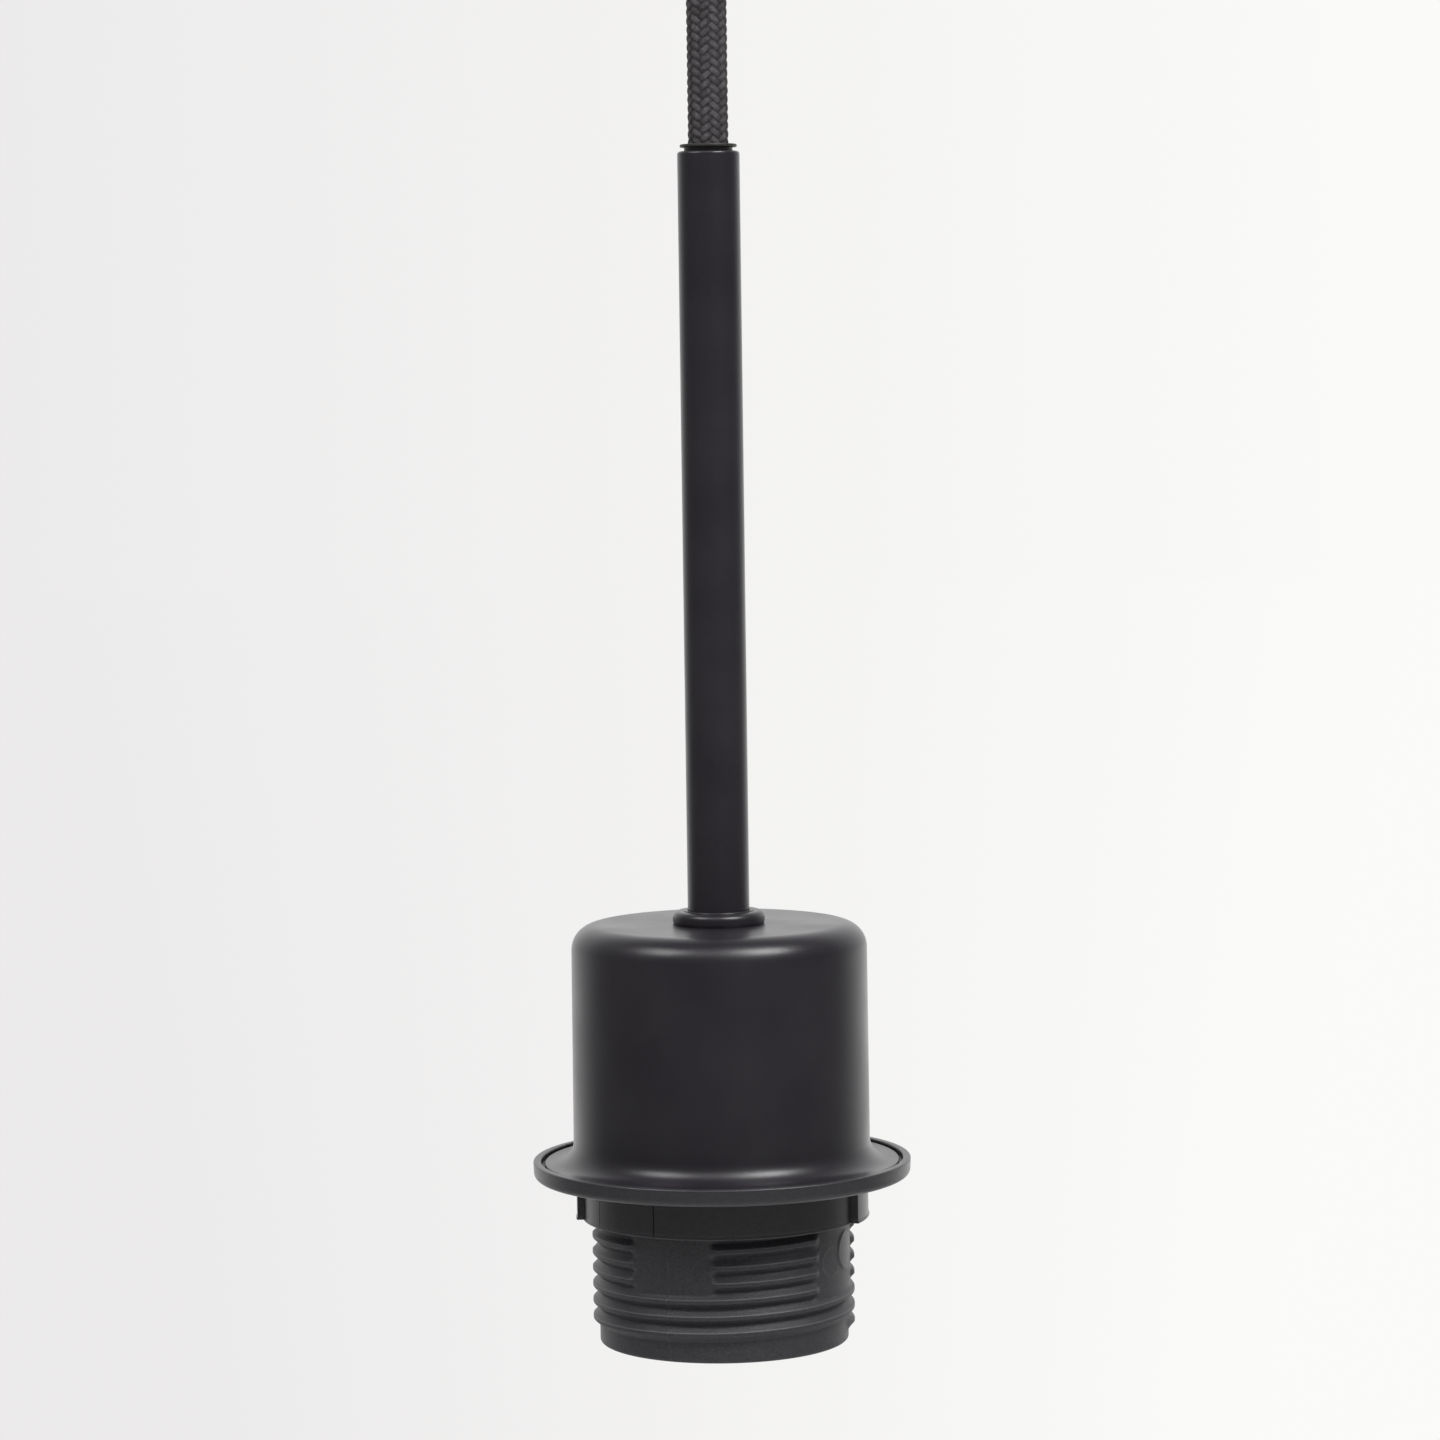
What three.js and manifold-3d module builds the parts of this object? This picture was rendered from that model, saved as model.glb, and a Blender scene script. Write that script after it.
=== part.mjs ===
// Pendant cord set: a ceiling cup, a braided cord, a metal stem, a drawn cover and a threaded
// lamp holder with a screw-on shade ring. Millimetres, +Z up, origin on the ceiling plane.
import * as THREE from 'three';
import { mergeVertices } from 'three/addons/utils/BufferGeometryUtils.js';
import Module from 'manifold-3d';

const wasm = await Module();
wasm.setup();

// Ceiling cup and its bracket
const canopyRadius = 40;
const canopyDepth = 38;
const canopyFillet = 7;
const canopySheet = 0.8;
const bracketWidth = 16;
const bracketSheet = 1.5;
const lugRoom = 0.4;
const lugDrop = 13;
const sideScrewDrop = 8;
const sideScrewRadius = 1.5;
const sideScrewLength = 8;
const ceilingSlotOffset = 23;
const ceilingSlotLength = 9;
const ceilingSlotRadius = 2.3;

// Terminal block under the bracket
const blockLength = 20;
const blockWidth = 13;
const blockHeight = 10;
const blockPoleOffset = 5.5;
const blockScrewRadius = 1.4;
const blockWireDepth = 5;
const poleScrewRadius = 1.6;
const poleScrewHeight = 6.5;

// Cord and its cores
const cordRadius = 3;
const coreRadius = 0.9;
const coreSpacing = 1.25;
const coreSplitDrop = 9;
const coreStraight = 1.5;
const coreBend = 0.2;

// Cord grip
const gripFlangeRadius = 8;
const gripFlangeHeight = 2.4;
const gripBarrelRadius = 6.2;
const gripEdge = 0.6;
const gripDrop = 15;
const gripShankRadius = 5;
const gripShankLength = 11;
const gripScrewRadius = 1.5;
const gripScrewHeight = 6;
const nutAcrossFlats = 14;
const nutHeight = 2.8;

// Stem
const stemRadius = 4.7;
const stemWall = 0.8;
const stemShown = 114.55;
const stemEndRound = 0.4;
const stemCordTail = 1.5;
const collarRadius = 7;
const collarHeight = 2.2;
const collarLipRadius = 5.6;
const collarLipHeight = 0.5;
const collarLipFlare = 0.2;
const bushingFlangeRadius = 4.3;
const bushingFlangeHeight = 0.5;
const bushingEdge = 0.15;
const bushingStandOff = 0.6;
const bushingDepth = 9;

// Drawn cover, 45 across: its room is the gap round the holder cap
const coverRoom = 1.25;
const coverHeight = 37;
const coverSheet = 0.7;
const coverTopFillet = 3.75;
const coverFlare = 3.2;
const coverFlangeLand = 1.35;

// Shade ring, 57.7 across: its room is the gap round the cover's flange
const ringPlay = 0.3;
const ringCollarWall = 1;
const ringCollarHeight = 6;
const ringPadRise = 1;
const ringPadStart = 66.3;
const ringPadSpan = 30.7;
const ringPadRamp = 1.2;
const ringFlangeThickness = 1.6;
const ringRoom = 0.55;
const ringRimWidth = 1.2;
const ringRimHeight = 1.05;
const ringRimDraft = 0.3;
const ringEdge = 0.3;
const ringSeat = 19.35;

// Threaded skirt: outside thread 40 x 2.5, right-hand, with four smooth panels in its upper turns
const threadRadius = 20;
const threadDepth = 1;
const threadPitch = 2.5;
const threadKnee = 0.25;
const threadKneeHeight = 0.78;
const threadCrestFront = 4.55;
const threadStartTurn = -0.79;
const threadLeadDegrees = 15;
const threadLow = 1;
const threadRunOut = 0.6;
const fullTurns = 2;
const panelDepth = 0.5;
const panelCount = 4;
const panelStart = 46;
const panelSpan = 39.3;
const panelRamp = 7.5;
const skirtHeight = 34.5;
const skirtShoulder = 28.2;
const skirtEdge = 0.4;
const shoulderStep = 0.4;
const spigotWall = 2;
const mouthStep = 2;
const mouthLip = 2;

// Lamp thread shell: rolled sheet with the round lamp thread
const shellMinorRadius = 12.3;
const shellThreadDepth = 1.1;
const shellPitch = 3.62;
const shellSheet = 0.4;
const shellLow = 15;
const shellRoom = 0.7;

// Holder cap, contact base and contacts
const capSkirtWall = 1.8;
const capDomeFillet = 5;
const capWall = 2.6;
const capNeckRadius = 7.4;
const capNeckHeight = 4.4;
const stemEngagement = 7.5;
const lockScrewRadius = 1.2;
const lockScrewProud = 0.3;
const baseFlangeHeight = 2.6;
const baseBodyRadius = 14;
const baseBodyHeight = 3;
const terminalLength = 8;
const terminalWidth = 5;
const terminalHeight = 6;
const terminalOffset = 10.3;
const terminalFloor = 1;
const terminalWireDepth = 4;
const terminalScrewRadius = 1.4;
const terminalHeadRim = 0.4;
const stripWidth = 5;
const stripThickness = 0.4;
const stripReach = 6.9;
const stripDip = 2.4;
const stripFlat = 3.6;
const stripBend = 0.15;
const stripTip = 1.5;
const stripTipRise = 0.9;
const rivetRadius = 0.9;
const rivetHeadRadius = 2.4;
const rivetTailRadius = 1.5;

// Screw heads, as shares of the screw's radius and of the head
const headHeight = 1.4;
const panHead = 2.2;
const roundHead = 1.9;
const headCrown = 0.6;

// Clearances: between round fits, between faces that meet, and where the cord meets a piece
const slipFit = 0.2;
const faceGap = 0.05;
const cordGap = 0.3;

// Facets
const fineSides = 40;
const coverSides = 32;
const plainSides = 24;
const smallSides = 12;
const cordSides = 12;
const coreSides = 8;
const filletSteps = 3;
const threadRows = 4;
const panelColumns = 3;
const threadColumns = 5;

// The free cord hangs plumb: its points below the face of the grip, from top to bottom
const cordRoute = [
  [0, 0, -0.3], [0, 0, -4], [0, 0, -8], [0, 0, -12], [0, 0, -16], [0, 0, -20], [0, 0, -24], [0, 0, -28],
  [0, 0, -32], [0, 0, -36], [0, 0, -40], [0, 0, -44], [0, 0, -48], [0, 0, -52], [0, 0, -56], [0, 0, -60.3],
];

// Heights in the holder, above the mouth of the skirt
const ringFloor = ringSeat + ringCollarHeight + ringFlangeThickness;
const coverLow = ringFloor + faceGap;
const coverTop = coverLow + coverHeight;
const collarLow = coverTop + faceGap;
const stemTop = collarLow + collarHeight + stemShown;
const bushingTop = stemTop + bushingStandOff + bushingFlangeHeight;
const nutTop = coverTop - coverSheet - faceGap;
const capTop = nutTop - nutHeight - faceGap;
const capDomeTop = capTop - capNeckHeight;
const stemLow = capTop - stemEngagement;
const capLow = skirtShoulder + faceGap;
const baseLow = skirtHeight + faceGap;
const baseFlangeTop = baseLow + baseFlangeHeight;
const baseTop = baseFlangeTop + baseBodyHeight;
const terminalLow = baseTop + faceGap;
const threadHigh = skirtShoulder - threadRunOut;
const threadRoot = threadRadius - threadDepth;

// Heights of the groups, below the ceiling
const gripFace = -canopyDepth - faceGap - gripDrop;
const cordDrop = -cordRoute[cordRoute.length - 1][2] + cordGap;
const holderBase = gripFace - cordDrop - bushingTop;

// Radii that follow from the stem, the grip and the outside thread
const stemBore = stemRadius - stemWall;
const stemHole = stemRadius + slipFit;
const gripHole = gripShankRadius + slipFit;
const nutRadius = nutAcrossFlats / Math.sqrt(3);
const spigotRadius = threadRoot - shoulderStep;
const skirtBore = spigotRadius - spigotWall;
const mouthRadius = skirtBore - mouthStep;
const shellFlangeRadius = skirtBore - shellRoom;
const baseFlangeRadius = spigotRadius;
const capBore = spigotRadius + slipFit;
const capRadius = capBore + capSkirtWall;
const coverRadius = capRadius + coverRoom + coverSheet;
const coverFlangeRadius = coverRadius + coverFlare + coverFlangeLand;
const ringBore = threadRadius + ringPlay;
const ringCollarRadius = ringBore + ringCollarWall;
const ringRadius = coverFlangeRadius + ringRoom + ringRimWidth;

const radians = (degrees) => (degrees * Math.PI) / 180;
const ramp = (value) => {
  const t = Math.min(Math.max(value, 0), 1);
  return t * t * (3 - 2 * t);
};

// Materials
const finish = (color, roughness, metalness) => () =>
  new THREE.MeshStandardMaterial({ color, roughness, metalness });
const satinPaint = finish(0x29282a, 0.38, 0.1);
const mouldedBlack = finish(0x313132, 0.62, 0);
const bushingNylon = finish(0x242324, 0.5, 0);
const braid = finish(0x3a393b, 0.95, 0);
const zincSteel = finish(0xb4b7bb, 0.4, 1);
const brass = finish(0xb5924c, 0.35, 1);
const nickel = finish(0xc6c2b8, 0.3, 1);
const insulator = finish(0xe4e0d6, 0.55, 0);
const brownCore = finish(0x63391f, 0.5, 0);
const blueCore = finish(0x2b5c99, 0.5, 0);

// Turns a closed geometry's faces outwards, going by the sign of its volume.
function facingOut(geometry) {
  const solid = mergeVertices(bare(geometry), 1e-5);
  const p = solid.attributes.position;
  const index = solid.index.array;
  const [a, b, c] = [new THREE.Vector3(), new THREE.Vector3(), new THREE.Vector3()];
  let volume = 0;
  for (let i = 0; i < index.length; i += 3) {
    a.fromBufferAttribute(p, index[i]);
    b.fromBufferAttribute(p, index[i + 1]);
    c.fromBufferAttribute(p, index[i + 2]);
    volume += a.dot(b.cross(c));
  }
  if (volume < 0) {
    for (let i = 0; i < index.length; i += 3) {
      [index[i + 1], index[i + 2]] = [index[i + 2], index[i + 1]];
    }
  }
  return solid;
}

// A copy of a geometry that keeps only its positions and faces.
function bare(geometry) {
  const copy = geometry.clone();
  copy.deleteAttribute('normal');
  copy.deleteAttribute('uv');
  copy.clearGroups();
  return copy;
}

// Points of an arc in a profile, from one angle to another, in degrees.
function arc(x, y, radius, from, to, steps = filletSteps) {
  const points = [];
  for (let i = 0; i <= steps; i++) {
    const angle = radians(from + ((to - from) * i) / steps);
    points.push([x + radius * Math.cos(angle), y + radius * Math.sin(angle)]);
  }
  return points;
}

// A body turned about Z from a closed profile of [radius, height] points.
function turned(profile, sides = plainSides) {
  const points = [...profile, profile[0]].map(([r, z]) => new THREE.Vector2(r, z));
  return facingOut(new THREE.LatheGeometry(points, sides).rotateX(Math.PI / 2));
}

// A plain or stepped round bar along Z: pairs of [radius, height], closed on the axis at both ends.
function bar(steps, sides = smallSides) {
  const points = [[0, steps[0][1]], ...steps, [0, steps[steps.length - 1][1]]];
  const profile = points.map(([r, z]) => new THREE.Vector2(r, z));
  return facingOut(new THREE.LatheGeometry(profile, sides).rotateX(Math.PI / 2));
}

// A plate along Z from an outline, with round or slotted holes.
function plate(outline, holes, low, height) {
  const shape = new THREE.Shape(outline.map(([x, y]) => new THREE.Vector2(x, y)));
  for (const hole of holes) {
    shape.holes.push(new THREE.Path(hole.map(([x, y]) => new THREE.Vector2(x, y))));
  }
  const solid = new THREE.ExtrudeGeometry(shape, { depth: height, bevelEnabled: false });
  return facingOut(solid.translate(0, 0, low));
}

function rectangle(width, depth, x = 0, y = 0) {
  const [w, d] = [width / 2, depth / 2];
  return [[x - w, y - d], [x + w, y - d], [x + w, y + d], [x - w, y + d]];
}

function circle(radius, x = 0, y = 0, sides = smallSides) {
  return arc(x, y, radius, 0, 360 - 360 / sides, sides - 1);
}

// A round wire or cord carried along a smooth curve through the given points.
function strand(points, radius, sides, steps) {
  const section = circle(radius, 0, 0, sides).map(([x, y]) => new THREE.Vector2(x, y));
  const extrudePath = new THREE.CatmullRomCurve3(points.map((p) => new THREE.Vector3(...p)));
  const settings = { steps, extrudePath, bevelEnabled: false };
  return facingOut(new THREE.ExtrudeGeometry(new THREE.Shape(section), settings));
}

// Joins grids of points into one closed body: corners in the same place become one vertex, and
// faces that have shrunk to a line are left out.
function closedBody(grids) {
  const positions = [];
  const faces = [];
  const known = new Map();
  const vertex = (point) => {
    const key = point.map((value) => Math.round(value * 1e4)).join();
    if (!known.has(key)) {
      known.set(key, positions.length / 3);
      positions.push(...point);
    }
    return known.get(key);
  };
  const face = (a, b, c) => {
    if (a !== b && b !== c && c !== a) faces.push(a, b, c);
  };
  for (const rows of grids) {
    for (let i = 0; i + 1 < rows.length; i++) {
      for (let j = 0; j + 1 < rows[i].length; j++) {
        const a = vertex(rows[i][j]);
        const b = vertex(rows[i][j + 1]);
        const c = vertex(rows[i + 1][j + 1]);
        const d = vertex(rows[i + 1][j]);
        face(a, b, c);
        face(a, c, d);
      }
    }
  }
  const geometry = new THREE.BufferGeometry();
  geometry.setAttribute('position', new THREE.Float32BufferAttribute(positions, 3));
  geometry.setIndex(faces);
  return facingOut(geometry);
}

// A point on the wall at an angle from the front, positive towards the right as seen from there.
function wallPoint(radius, degrees, height) {
  const angle = radians(degrees);
  return [radius * Math.sin(angle), -radius * Math.cos(angle), height];
}

const evenAngles = (sides) => Array.from({ length: sides + 1 }, (_, j) => (360 * j) / sides - 180);

// Rings of points for a profile of [radius, height] pairs, at the given angles.
const ringRows = (profile, angles) =>
  profile.map(([r, z]) => angles.map((degrees) => wallPoint(r, degrees, z)));

// A threaded wall whose rows of points follow the helix, so that crests and roots fall on rows.
// Rows that would pass the ends lie flat on them, and closedBody drops what shrinks there.
function helicalRows(radiusAt, pitch, crestFront, low, high, angles, rowsPerPitch) {
  const first = Math.floor((low - crestFront) / pitch - 1) * rowsPerPitch;
  const last = Math.ceil((high - crestFront) / pitch + 1) * rowsPerPitch;
  const rows = [];
  for (let i = first; i <= last; i++) {
    rows.push(angles.map((degrees) => {
      const height = crestFront + pitch * (i / rowsPerPitch + degrees / 360);
      const z = Math.min(Math.max(height, low), high);
      return wallPoint(radiusAt(degrees, z), degrees, z);
    }));
  }
  return rows;
}

// Boolean cuts and joins
function solidOf(geometry) {
  const clean = mergeVertices(bare(geometry), 1e-5);
  const vertProperties = new Float32Array(clean.attributes.position.array);
  const triVerts = new Uint32Array(clean.index.array);
  return new wasm.Manifold(new wasm.Mesh({ numProp: 3, vertProperties, triVerts }));
}

function cut(geometry, ...tools) {
  let solid = solidOf(geometry);
  for (const tool of tools) solid = solid.subtract(solidOf(tool));
  const mesh = solid.getMesh();
  const result = new THREE.BufferGeometry();
  result.setAttribute('position', new THREE.BufferAttribute(mesh.vertProperties, 3));
  result.setIndex(new THREE.BufferAttribute(mesh.triVerts, 1));
  return result;
}

const alongX = (geometry) => geometry.rotateY(Math.PI / 2);
const alongMinusY = (geometry) => geometry.rotateX(Math.PI / 2);

// Ceiling fitting, in heights below the ceiling

const canopyInside = canopyRadius - canopySheet;
const lugFace = Math.sqrt(canopyInside ** 2 - (bracketWidth / 2) ** 2) - lugRoom;

function ceilingBracket() {
  const inside = lugFace - bracketSheet;
  const outline = [
    [-lugFace, 0], [-lugFace, -lugDrop], [-inside, -lugDrop], [-inside, -bracketSheet],
    [inside, -bracketSheet], [inside, -lugDrop], [lugFace, -lugDrop], [lugFace, 0],
  ];
  const strap = plate(outline, [], -bracketWidth / 2, bracketWidth).rotateX(Math.PI / 2);
  const lugHole = sideScrewRadius + slipFit;
  const lugHoles = alongX(bar([[lugHole, -canopyRadius], [lugHole, canopyRadius]]));
  const slot = (x) => {
    const half = ceilingSlotLength / 2 - ceilingSlotRadius;
    const right = arc(x + half, 0, ceilingSlotRadius, -90, 90, 6);
    const left = arc(x - half, 0, ceilingSlotRadius, 90, 270, 6);
    return plate([...right, ...left], [], -2 * bracketSheet, 3 * bracketSheet);
  };
  const screwHole = blockScrewRadius + slipFit;
  const blockHole = bar([[screwHole, -2 * bracketSheet], [screwHole, -bracketSheet / 2]]);
  lugHoles.translate(0, 0, -sideScrewDrop);
  return cut(strap, lugHoles, slot(ceilingSlotOffset), slot(-ceilingSlotOffset), blockHole);
}

function canopyCup() {
  const inner = canopyFillet - canopySheet;
  const cup = turned([
    [gripHole, -canopyDepth],
    ...arc(canopyRadius - canopyFillet, canopyFillet - canopyDepth, canopyFillet, -90, 0),
    [canopyRadius, 0],
    [canopyInside, 0],
    ...arc(canopyRadius - canopyFillet, canopyFillet - canopyDepth, inner, 0, -90),
    [gripHole, canopySheet - canopyDepth],
  ], coverSides);
  const hole = sideScrewRadius + slipFit;
  const reach = canopyRadius + canopySheet;
  const drill = alongX(bar([[hole, -reach], [hole, reach]]));
  return cut(cup, drill.translate(0, 0, -sideScrewDrop));
}

// Pan-head screw that enters the cup and the lug along X from the right, side 1, or the left, side -1.
function canopyScrew(side) {
  const seat = canopyRadius + faceGap;
  const headRadius = panHead * sideScrewRadius;
  const screw = bar([
    [sideScrewRadius, seat - sideScrewLength], [sideScrewRadius, seat], [headRadius, seat],
    [headRadius, seat + headCrown * headHeight], [headCrown * headRadius, seat + headHeight],
  ]);
  return alongX(screw).rotateZ(side > 0 ? 0 : Math.PI).translate(0, 0, -sideScrewDrop);
}

const blockTop = -bracketSheet - faceGap;
const blockFoot = blockTop - blockHeight;

function terminalBlock() {
  const holes = [
    circle(coreRadius + cordGap, blockPoleOffset), circle(coreRadius + cordGap, -blockPoleOffset),
    circle(blockScrewRadius + slipFit),
  ];
  const block = plate(rectangle(blockLength, blockWidth), holes, blockFoot, blockHeight);
  const drill = (x) => {
    const hole = poleScrewRadius + slipFit;
    const shaft = alongMinusY(bar([[hole, coreRadius], [hole, blockWidth]]));
    return shaft.translate(x, 0, blockFoot + poleScrewHeight);
  };
  return cut(block, drill(blockPoleOffset), drill(-blockPoleOffset));
}

function poleScrew(x) {
  const screw = bar([
    [poleScrewRadius, coreRadius + cordGap], [poleScrewRadius, blockWidth / 2 - headHeight / 2],
  ]);
  return alongMinusY(screw).translate(x, 0, blockFoot + poleScrewHeight);
}

function blockScrew() {
  const headRadius = roundHead * blockScrewRadius;
  const headFace = blockFoot - faceGap;
  return bar([
    [headRadius, headFace - headHeight], [headRadius, headFace],
    [blockScrewRadius, headFace], [blockScrewRadius, -bracketSheet / 2 - faceGap],
  ]);
}

const canopyCordTop = blockFoot - headHeight - coreSplitDrop;

function canopyCord() {
  const middle = (gripFace + canopyCordTop) / 2;
  return strand([[0, 0, gripFace], [0, 0, middle], [0, 0, canopyCordTop]], cordRadius, cordSides, 3);
}

// A core that rises from the end of the cord into its hole in the block.
function ceilingWire(side) {
  const start = canopyCordTop + cordGap;
  const mouth = blockFoot;
  const x = side * blockPoleOffset;
  return strand([
    [side * coreSpacing, 0, start],
    [side * coreSpacing, 0, start + coreStraight],
    [(x + side * coreSpacing) / 2, 0, (start + mouth) / 2],
    [x, 0, mouth - coreStraight],
    [x, 0, mouth + blockWireDepth],
  ], coreRadius, coreSides, 10);
}

// Cord grip, below the ceiling cup

function cordGrip() {
  const low = -gripDrop;
  const bore = cordRadius + cordGap;
  const body = turned([
    [bore, low], [gripBarrelRadius - gripEdge, low], [gripBarrelRadius, low + gripEdge],
    [gripBarrelRadius, -gripFlangeHeight], [gripFlangeRadius, -gripFlangeHeight],
    [gripFlangeRadius, 0], [gripShankRadius, 0],
    [gripShankRadius, gripShankLength], [bore, gripShankLength],
  ]);
  const hole = gripScrewRadius + slipFit;
  const drill = alongMinusY(bar([[hole, cordRadius], [hole, 2 * gripBarrelRadius]]));
  return cut(body, drill.translate(0, 0, low + gripScrewHeight));
}

function gripScrew() {
  const screw = bar([
    [gripScrewRadius, cordRadius + cordGap], [gripScrewRadius, gripBarrelRadius + headHeight],
  ]);
  return alongMinusY(screw).translate(0, 0, gripScrewHeight - gripDrop);
}

function hexNut(bore, low) {
  return plate(circle(nutRadius, 0, 0, 6), [circle(bore + slipFit, 0, 0, plainSides)], low, nutHeight);
}

// Stem, in heights above the mouth of the skirt

function stemTube() {
  return turned([
    [stemBore, stemLow], [stemRadius, stemLow],
    ...arc(stemRadius - stemEndRound, stemTop - stemEndRound, stemEndRound, 0, 90, 2),
    [stemBore, stemTop],
  ]);
}

function cordBushing() {
  const outer = stemBore - slipFit;
  const bore = cordRadius + slipFit;
  const flangeLow = stemTop + bushingStandOff;
  return turned([
    [bore, stemTop - bushingDepth], [outer, stemTop - bushingDepth],
    [outer, flangeLow], [bushingFlangeRadius, flangeLow], [bushingFlangeRadius, bushingTop - bushingEdge],
    [bushingFlangeRadius - bushingEdge, bushingTop], [bore, bushingTop],
  ]);
}

const stemCordLow = stemLow - stemCordTail;

function stemCord() {
  const middle = (stemCordLow + bushingTop) / 2;
  return strand([[0, 0, stemCordLow], [0, 0, middle], [0, 0, bushingTop]], cordRadius, cordSides, 8);
}

// Rounded bead with a thin lip on top, where the stem enters the cover.
function stemCollar() {
  const bead = (collarHeight - collarLipHeight) / 2;
  return turned([
    [stemHole, collarLow],
    ...arc(collarRadius - bead, collarLow + bead, bead, -90, 90, 5),
    [collarLipRadius + collarLipFlare, collarLow + 2 * bead], [collarLipRadius, collarLow + collarHeight],
    [stemHole, collarLow + collarHeight],
  ]);
}

// Cover, drawn from one sheet

function cupCover() {
  const inside = coverRadius - coverSheet;
  const bend = coverTopFillet - coverSheet;
  const flare = coverFlare + coverSheet;
  const flareCentre = coverRadius + coverFlare;
  return turned([
    [stemHole, coverTop],
    ...arc(coverRadius - coverTopFillet, coverTop - coverTopFillet, coverTopFillet, 90, 0),
    ...arc(flareCentre, coverLow + flare, coverFlare, 180, 270),
    [coverFlangeRadius, coverLow + coverSheet],
    [coverFlangeRadius, coverLow],
    ...arc(flareCentre, coverLow + flare, flare, 270, 180),
    ...arc(inside - bend, coverTop - coverTopFillet, bend, 0, 90),
    [stemHole, coverTop - coverSheet],
  ], coverSides);
}

// Holder cap: a dome with a neck that takes the end of the stem

function holderCap() {
  const cavity = capRadius - capWall;
  const shoulder = baseFlangeTop + faceGap;
  const ceiling = capDomeTop - capWall;
  const roomFillet = capDomeFillet - capWall;
  const cap = turned([
    [capBore, capLow], [capRadius, capLow],
    ...arc(capRadius - capDomeFillet, capDomeTop - capDomeFillet, capDomeFillet, 0, 90),
    [capNeckRadius, capDomeTop], [capNeckRadius, capTop], [stemHole, capTop], [stemHole, ceiling],
    ...arc(cavity - roomFillet, ceiling - roomFillet, roomFillet, 90, 0),
    [cavity, shoulder], [capBore, shoulder],
  ], coverSides);
  const hole = lockScrewRadius + slipFit;
  const drill = alongMinusY(bar([[hole, stemRadius], [hole, 2 * capNeckRadius]]));
  return cut(cap, drill.translate(0, 0, (capTop + capDomeTop) / 2));
}

function stemLockScrew() {
  const tail = capNeckRadius + lockScrewProud;
  const screw = bar([[lockScrewRadius, stemRadius + slipFit], [lockScrewRadius, tail]]);
  return alongMinusY(screw).translate(0, 0, (capTop + capDomeTop) / 2);
}

// Contact base with its terminals, strip and rivet

const rivetPlace = terminalWidth / 2 + rivetHeadRadius + slipFit - terminalOffset;

function contactBase() {
  const base = bar([
    [baseFlangeRadius, baseLow], [baseFlangeRadius, baseFlangeTop],
    [baseBodyRadius, baseFlangeTop], [baseBodyRadius, baseTop],
  ], plainSides);
  const drill = bar([[rivetRadius + slipFit, baseLow - 1], [rivetRadius + slipFit, baseTop + 1]]);
  return cut(base, drill.translate(rivetPlace, 0, 0));
}

const terminalWireY = terminalLength / 4;

function terminal(side) {
  const wireHole = circle(coreRadius + cordGap, 0, terminalWireY);
  const screwHole = circle(terminalScrewRadius + slipFit, 0, -terminalWireY);
  const outline = rectangle(terminalWidth, terminalLength);
  const block = plate(outline, [wireHole, screwHole], terminalLow, terminalHeight);
  return block.translate(side * terminalOffset, 0, 0);
}

function terminalScrew(side) {
  const seat = terminalLow + terminalHeight + faceGap;
  const headRadius = terminalScrewRadius + slipFit + terminalHeadRim;
  const screw = bar([
    [terminalScrewRadius, terminalLow + terminalFloor], [terminalScrewRadius, seat],
    [headRadius, seat], [headRadius, seat + headHeight],
  ]);
  return screw.translate(side * terminalOffset, -terminalWireY, 0);
}

// A core that comes down from the end of the cord and bends over into its terminal.
function holderWire(side) {
  const top = stemCordLow - cordGap;
  const mouth = terminalLow + terminalHeight;
  const x = side * terminalOffset;
  return strand([
    [side * coreSpacing, 0, top],
    [side * coreSpacing, 0, top - 5 * coreBend],
    [(x + side * coreSpacing) / 2, terminalWireY / 2, (top + mouth) / 2 + coreBend],
    [x, terminalWireY, mouth + 5 * coreBend],
    [x, terminalWireY, mouth - terminalWireDepth],
  ], coreRadius, coreSides, 12);
}

function centreContact() {
  const top = baseLow - faceGap;
  const t = stripThickness;
  const half = stripFlat / 2;
  const low = top - t - stripDip;
  const heel = rivetPlace + rivetTailRadius + slipFit;
  const tip = half + stripTip;
  const tipLow = low + stripTipRise;
  const outline = [
    [-stripReach, top], [-stripReach, top - t], [heel, top - t], [-half, low], [half, low],
    [tip, tipLow], [tip - 2 * stripBend, tipLow + t], [half - stripBend, low + t],
    [-half + stripBend, low + t], [heel + stripBend, top],
  ];
  const strip = plate(outline, [], -stripWidth / 2, stripWidth).rotateX(Math.PI / 2);
  const hole = rivetRadius + slipFit;
  const drill = bar([[hole, low], [hole, top + 1]]);
  return cut(strip, drill.translate(rivetPlace, 0, 0));
}

// Rivet through the strip and the base, with a head at each end.
function contactRivet() {
  const headLow = baseLow - 2 * faceGap - stripThickness;
  const tail = headHeight / 2;
  return bar([
    [rivetTailRadius, headLow - tail], [rivetTailRadius, headLow], [rivetRadius, headLow],
    [rivetRadius, baseTop + faceGap], [rivetHeadRadius, baseTop + faceGap],
    [rivetHeadRadius, baseTop + faceGap + tail],
  ]).translate(rivetPlace, 0, 0);
}

// Lamp thread shell: the round thread is rolled into the sheet, so both its faces carry it

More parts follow.
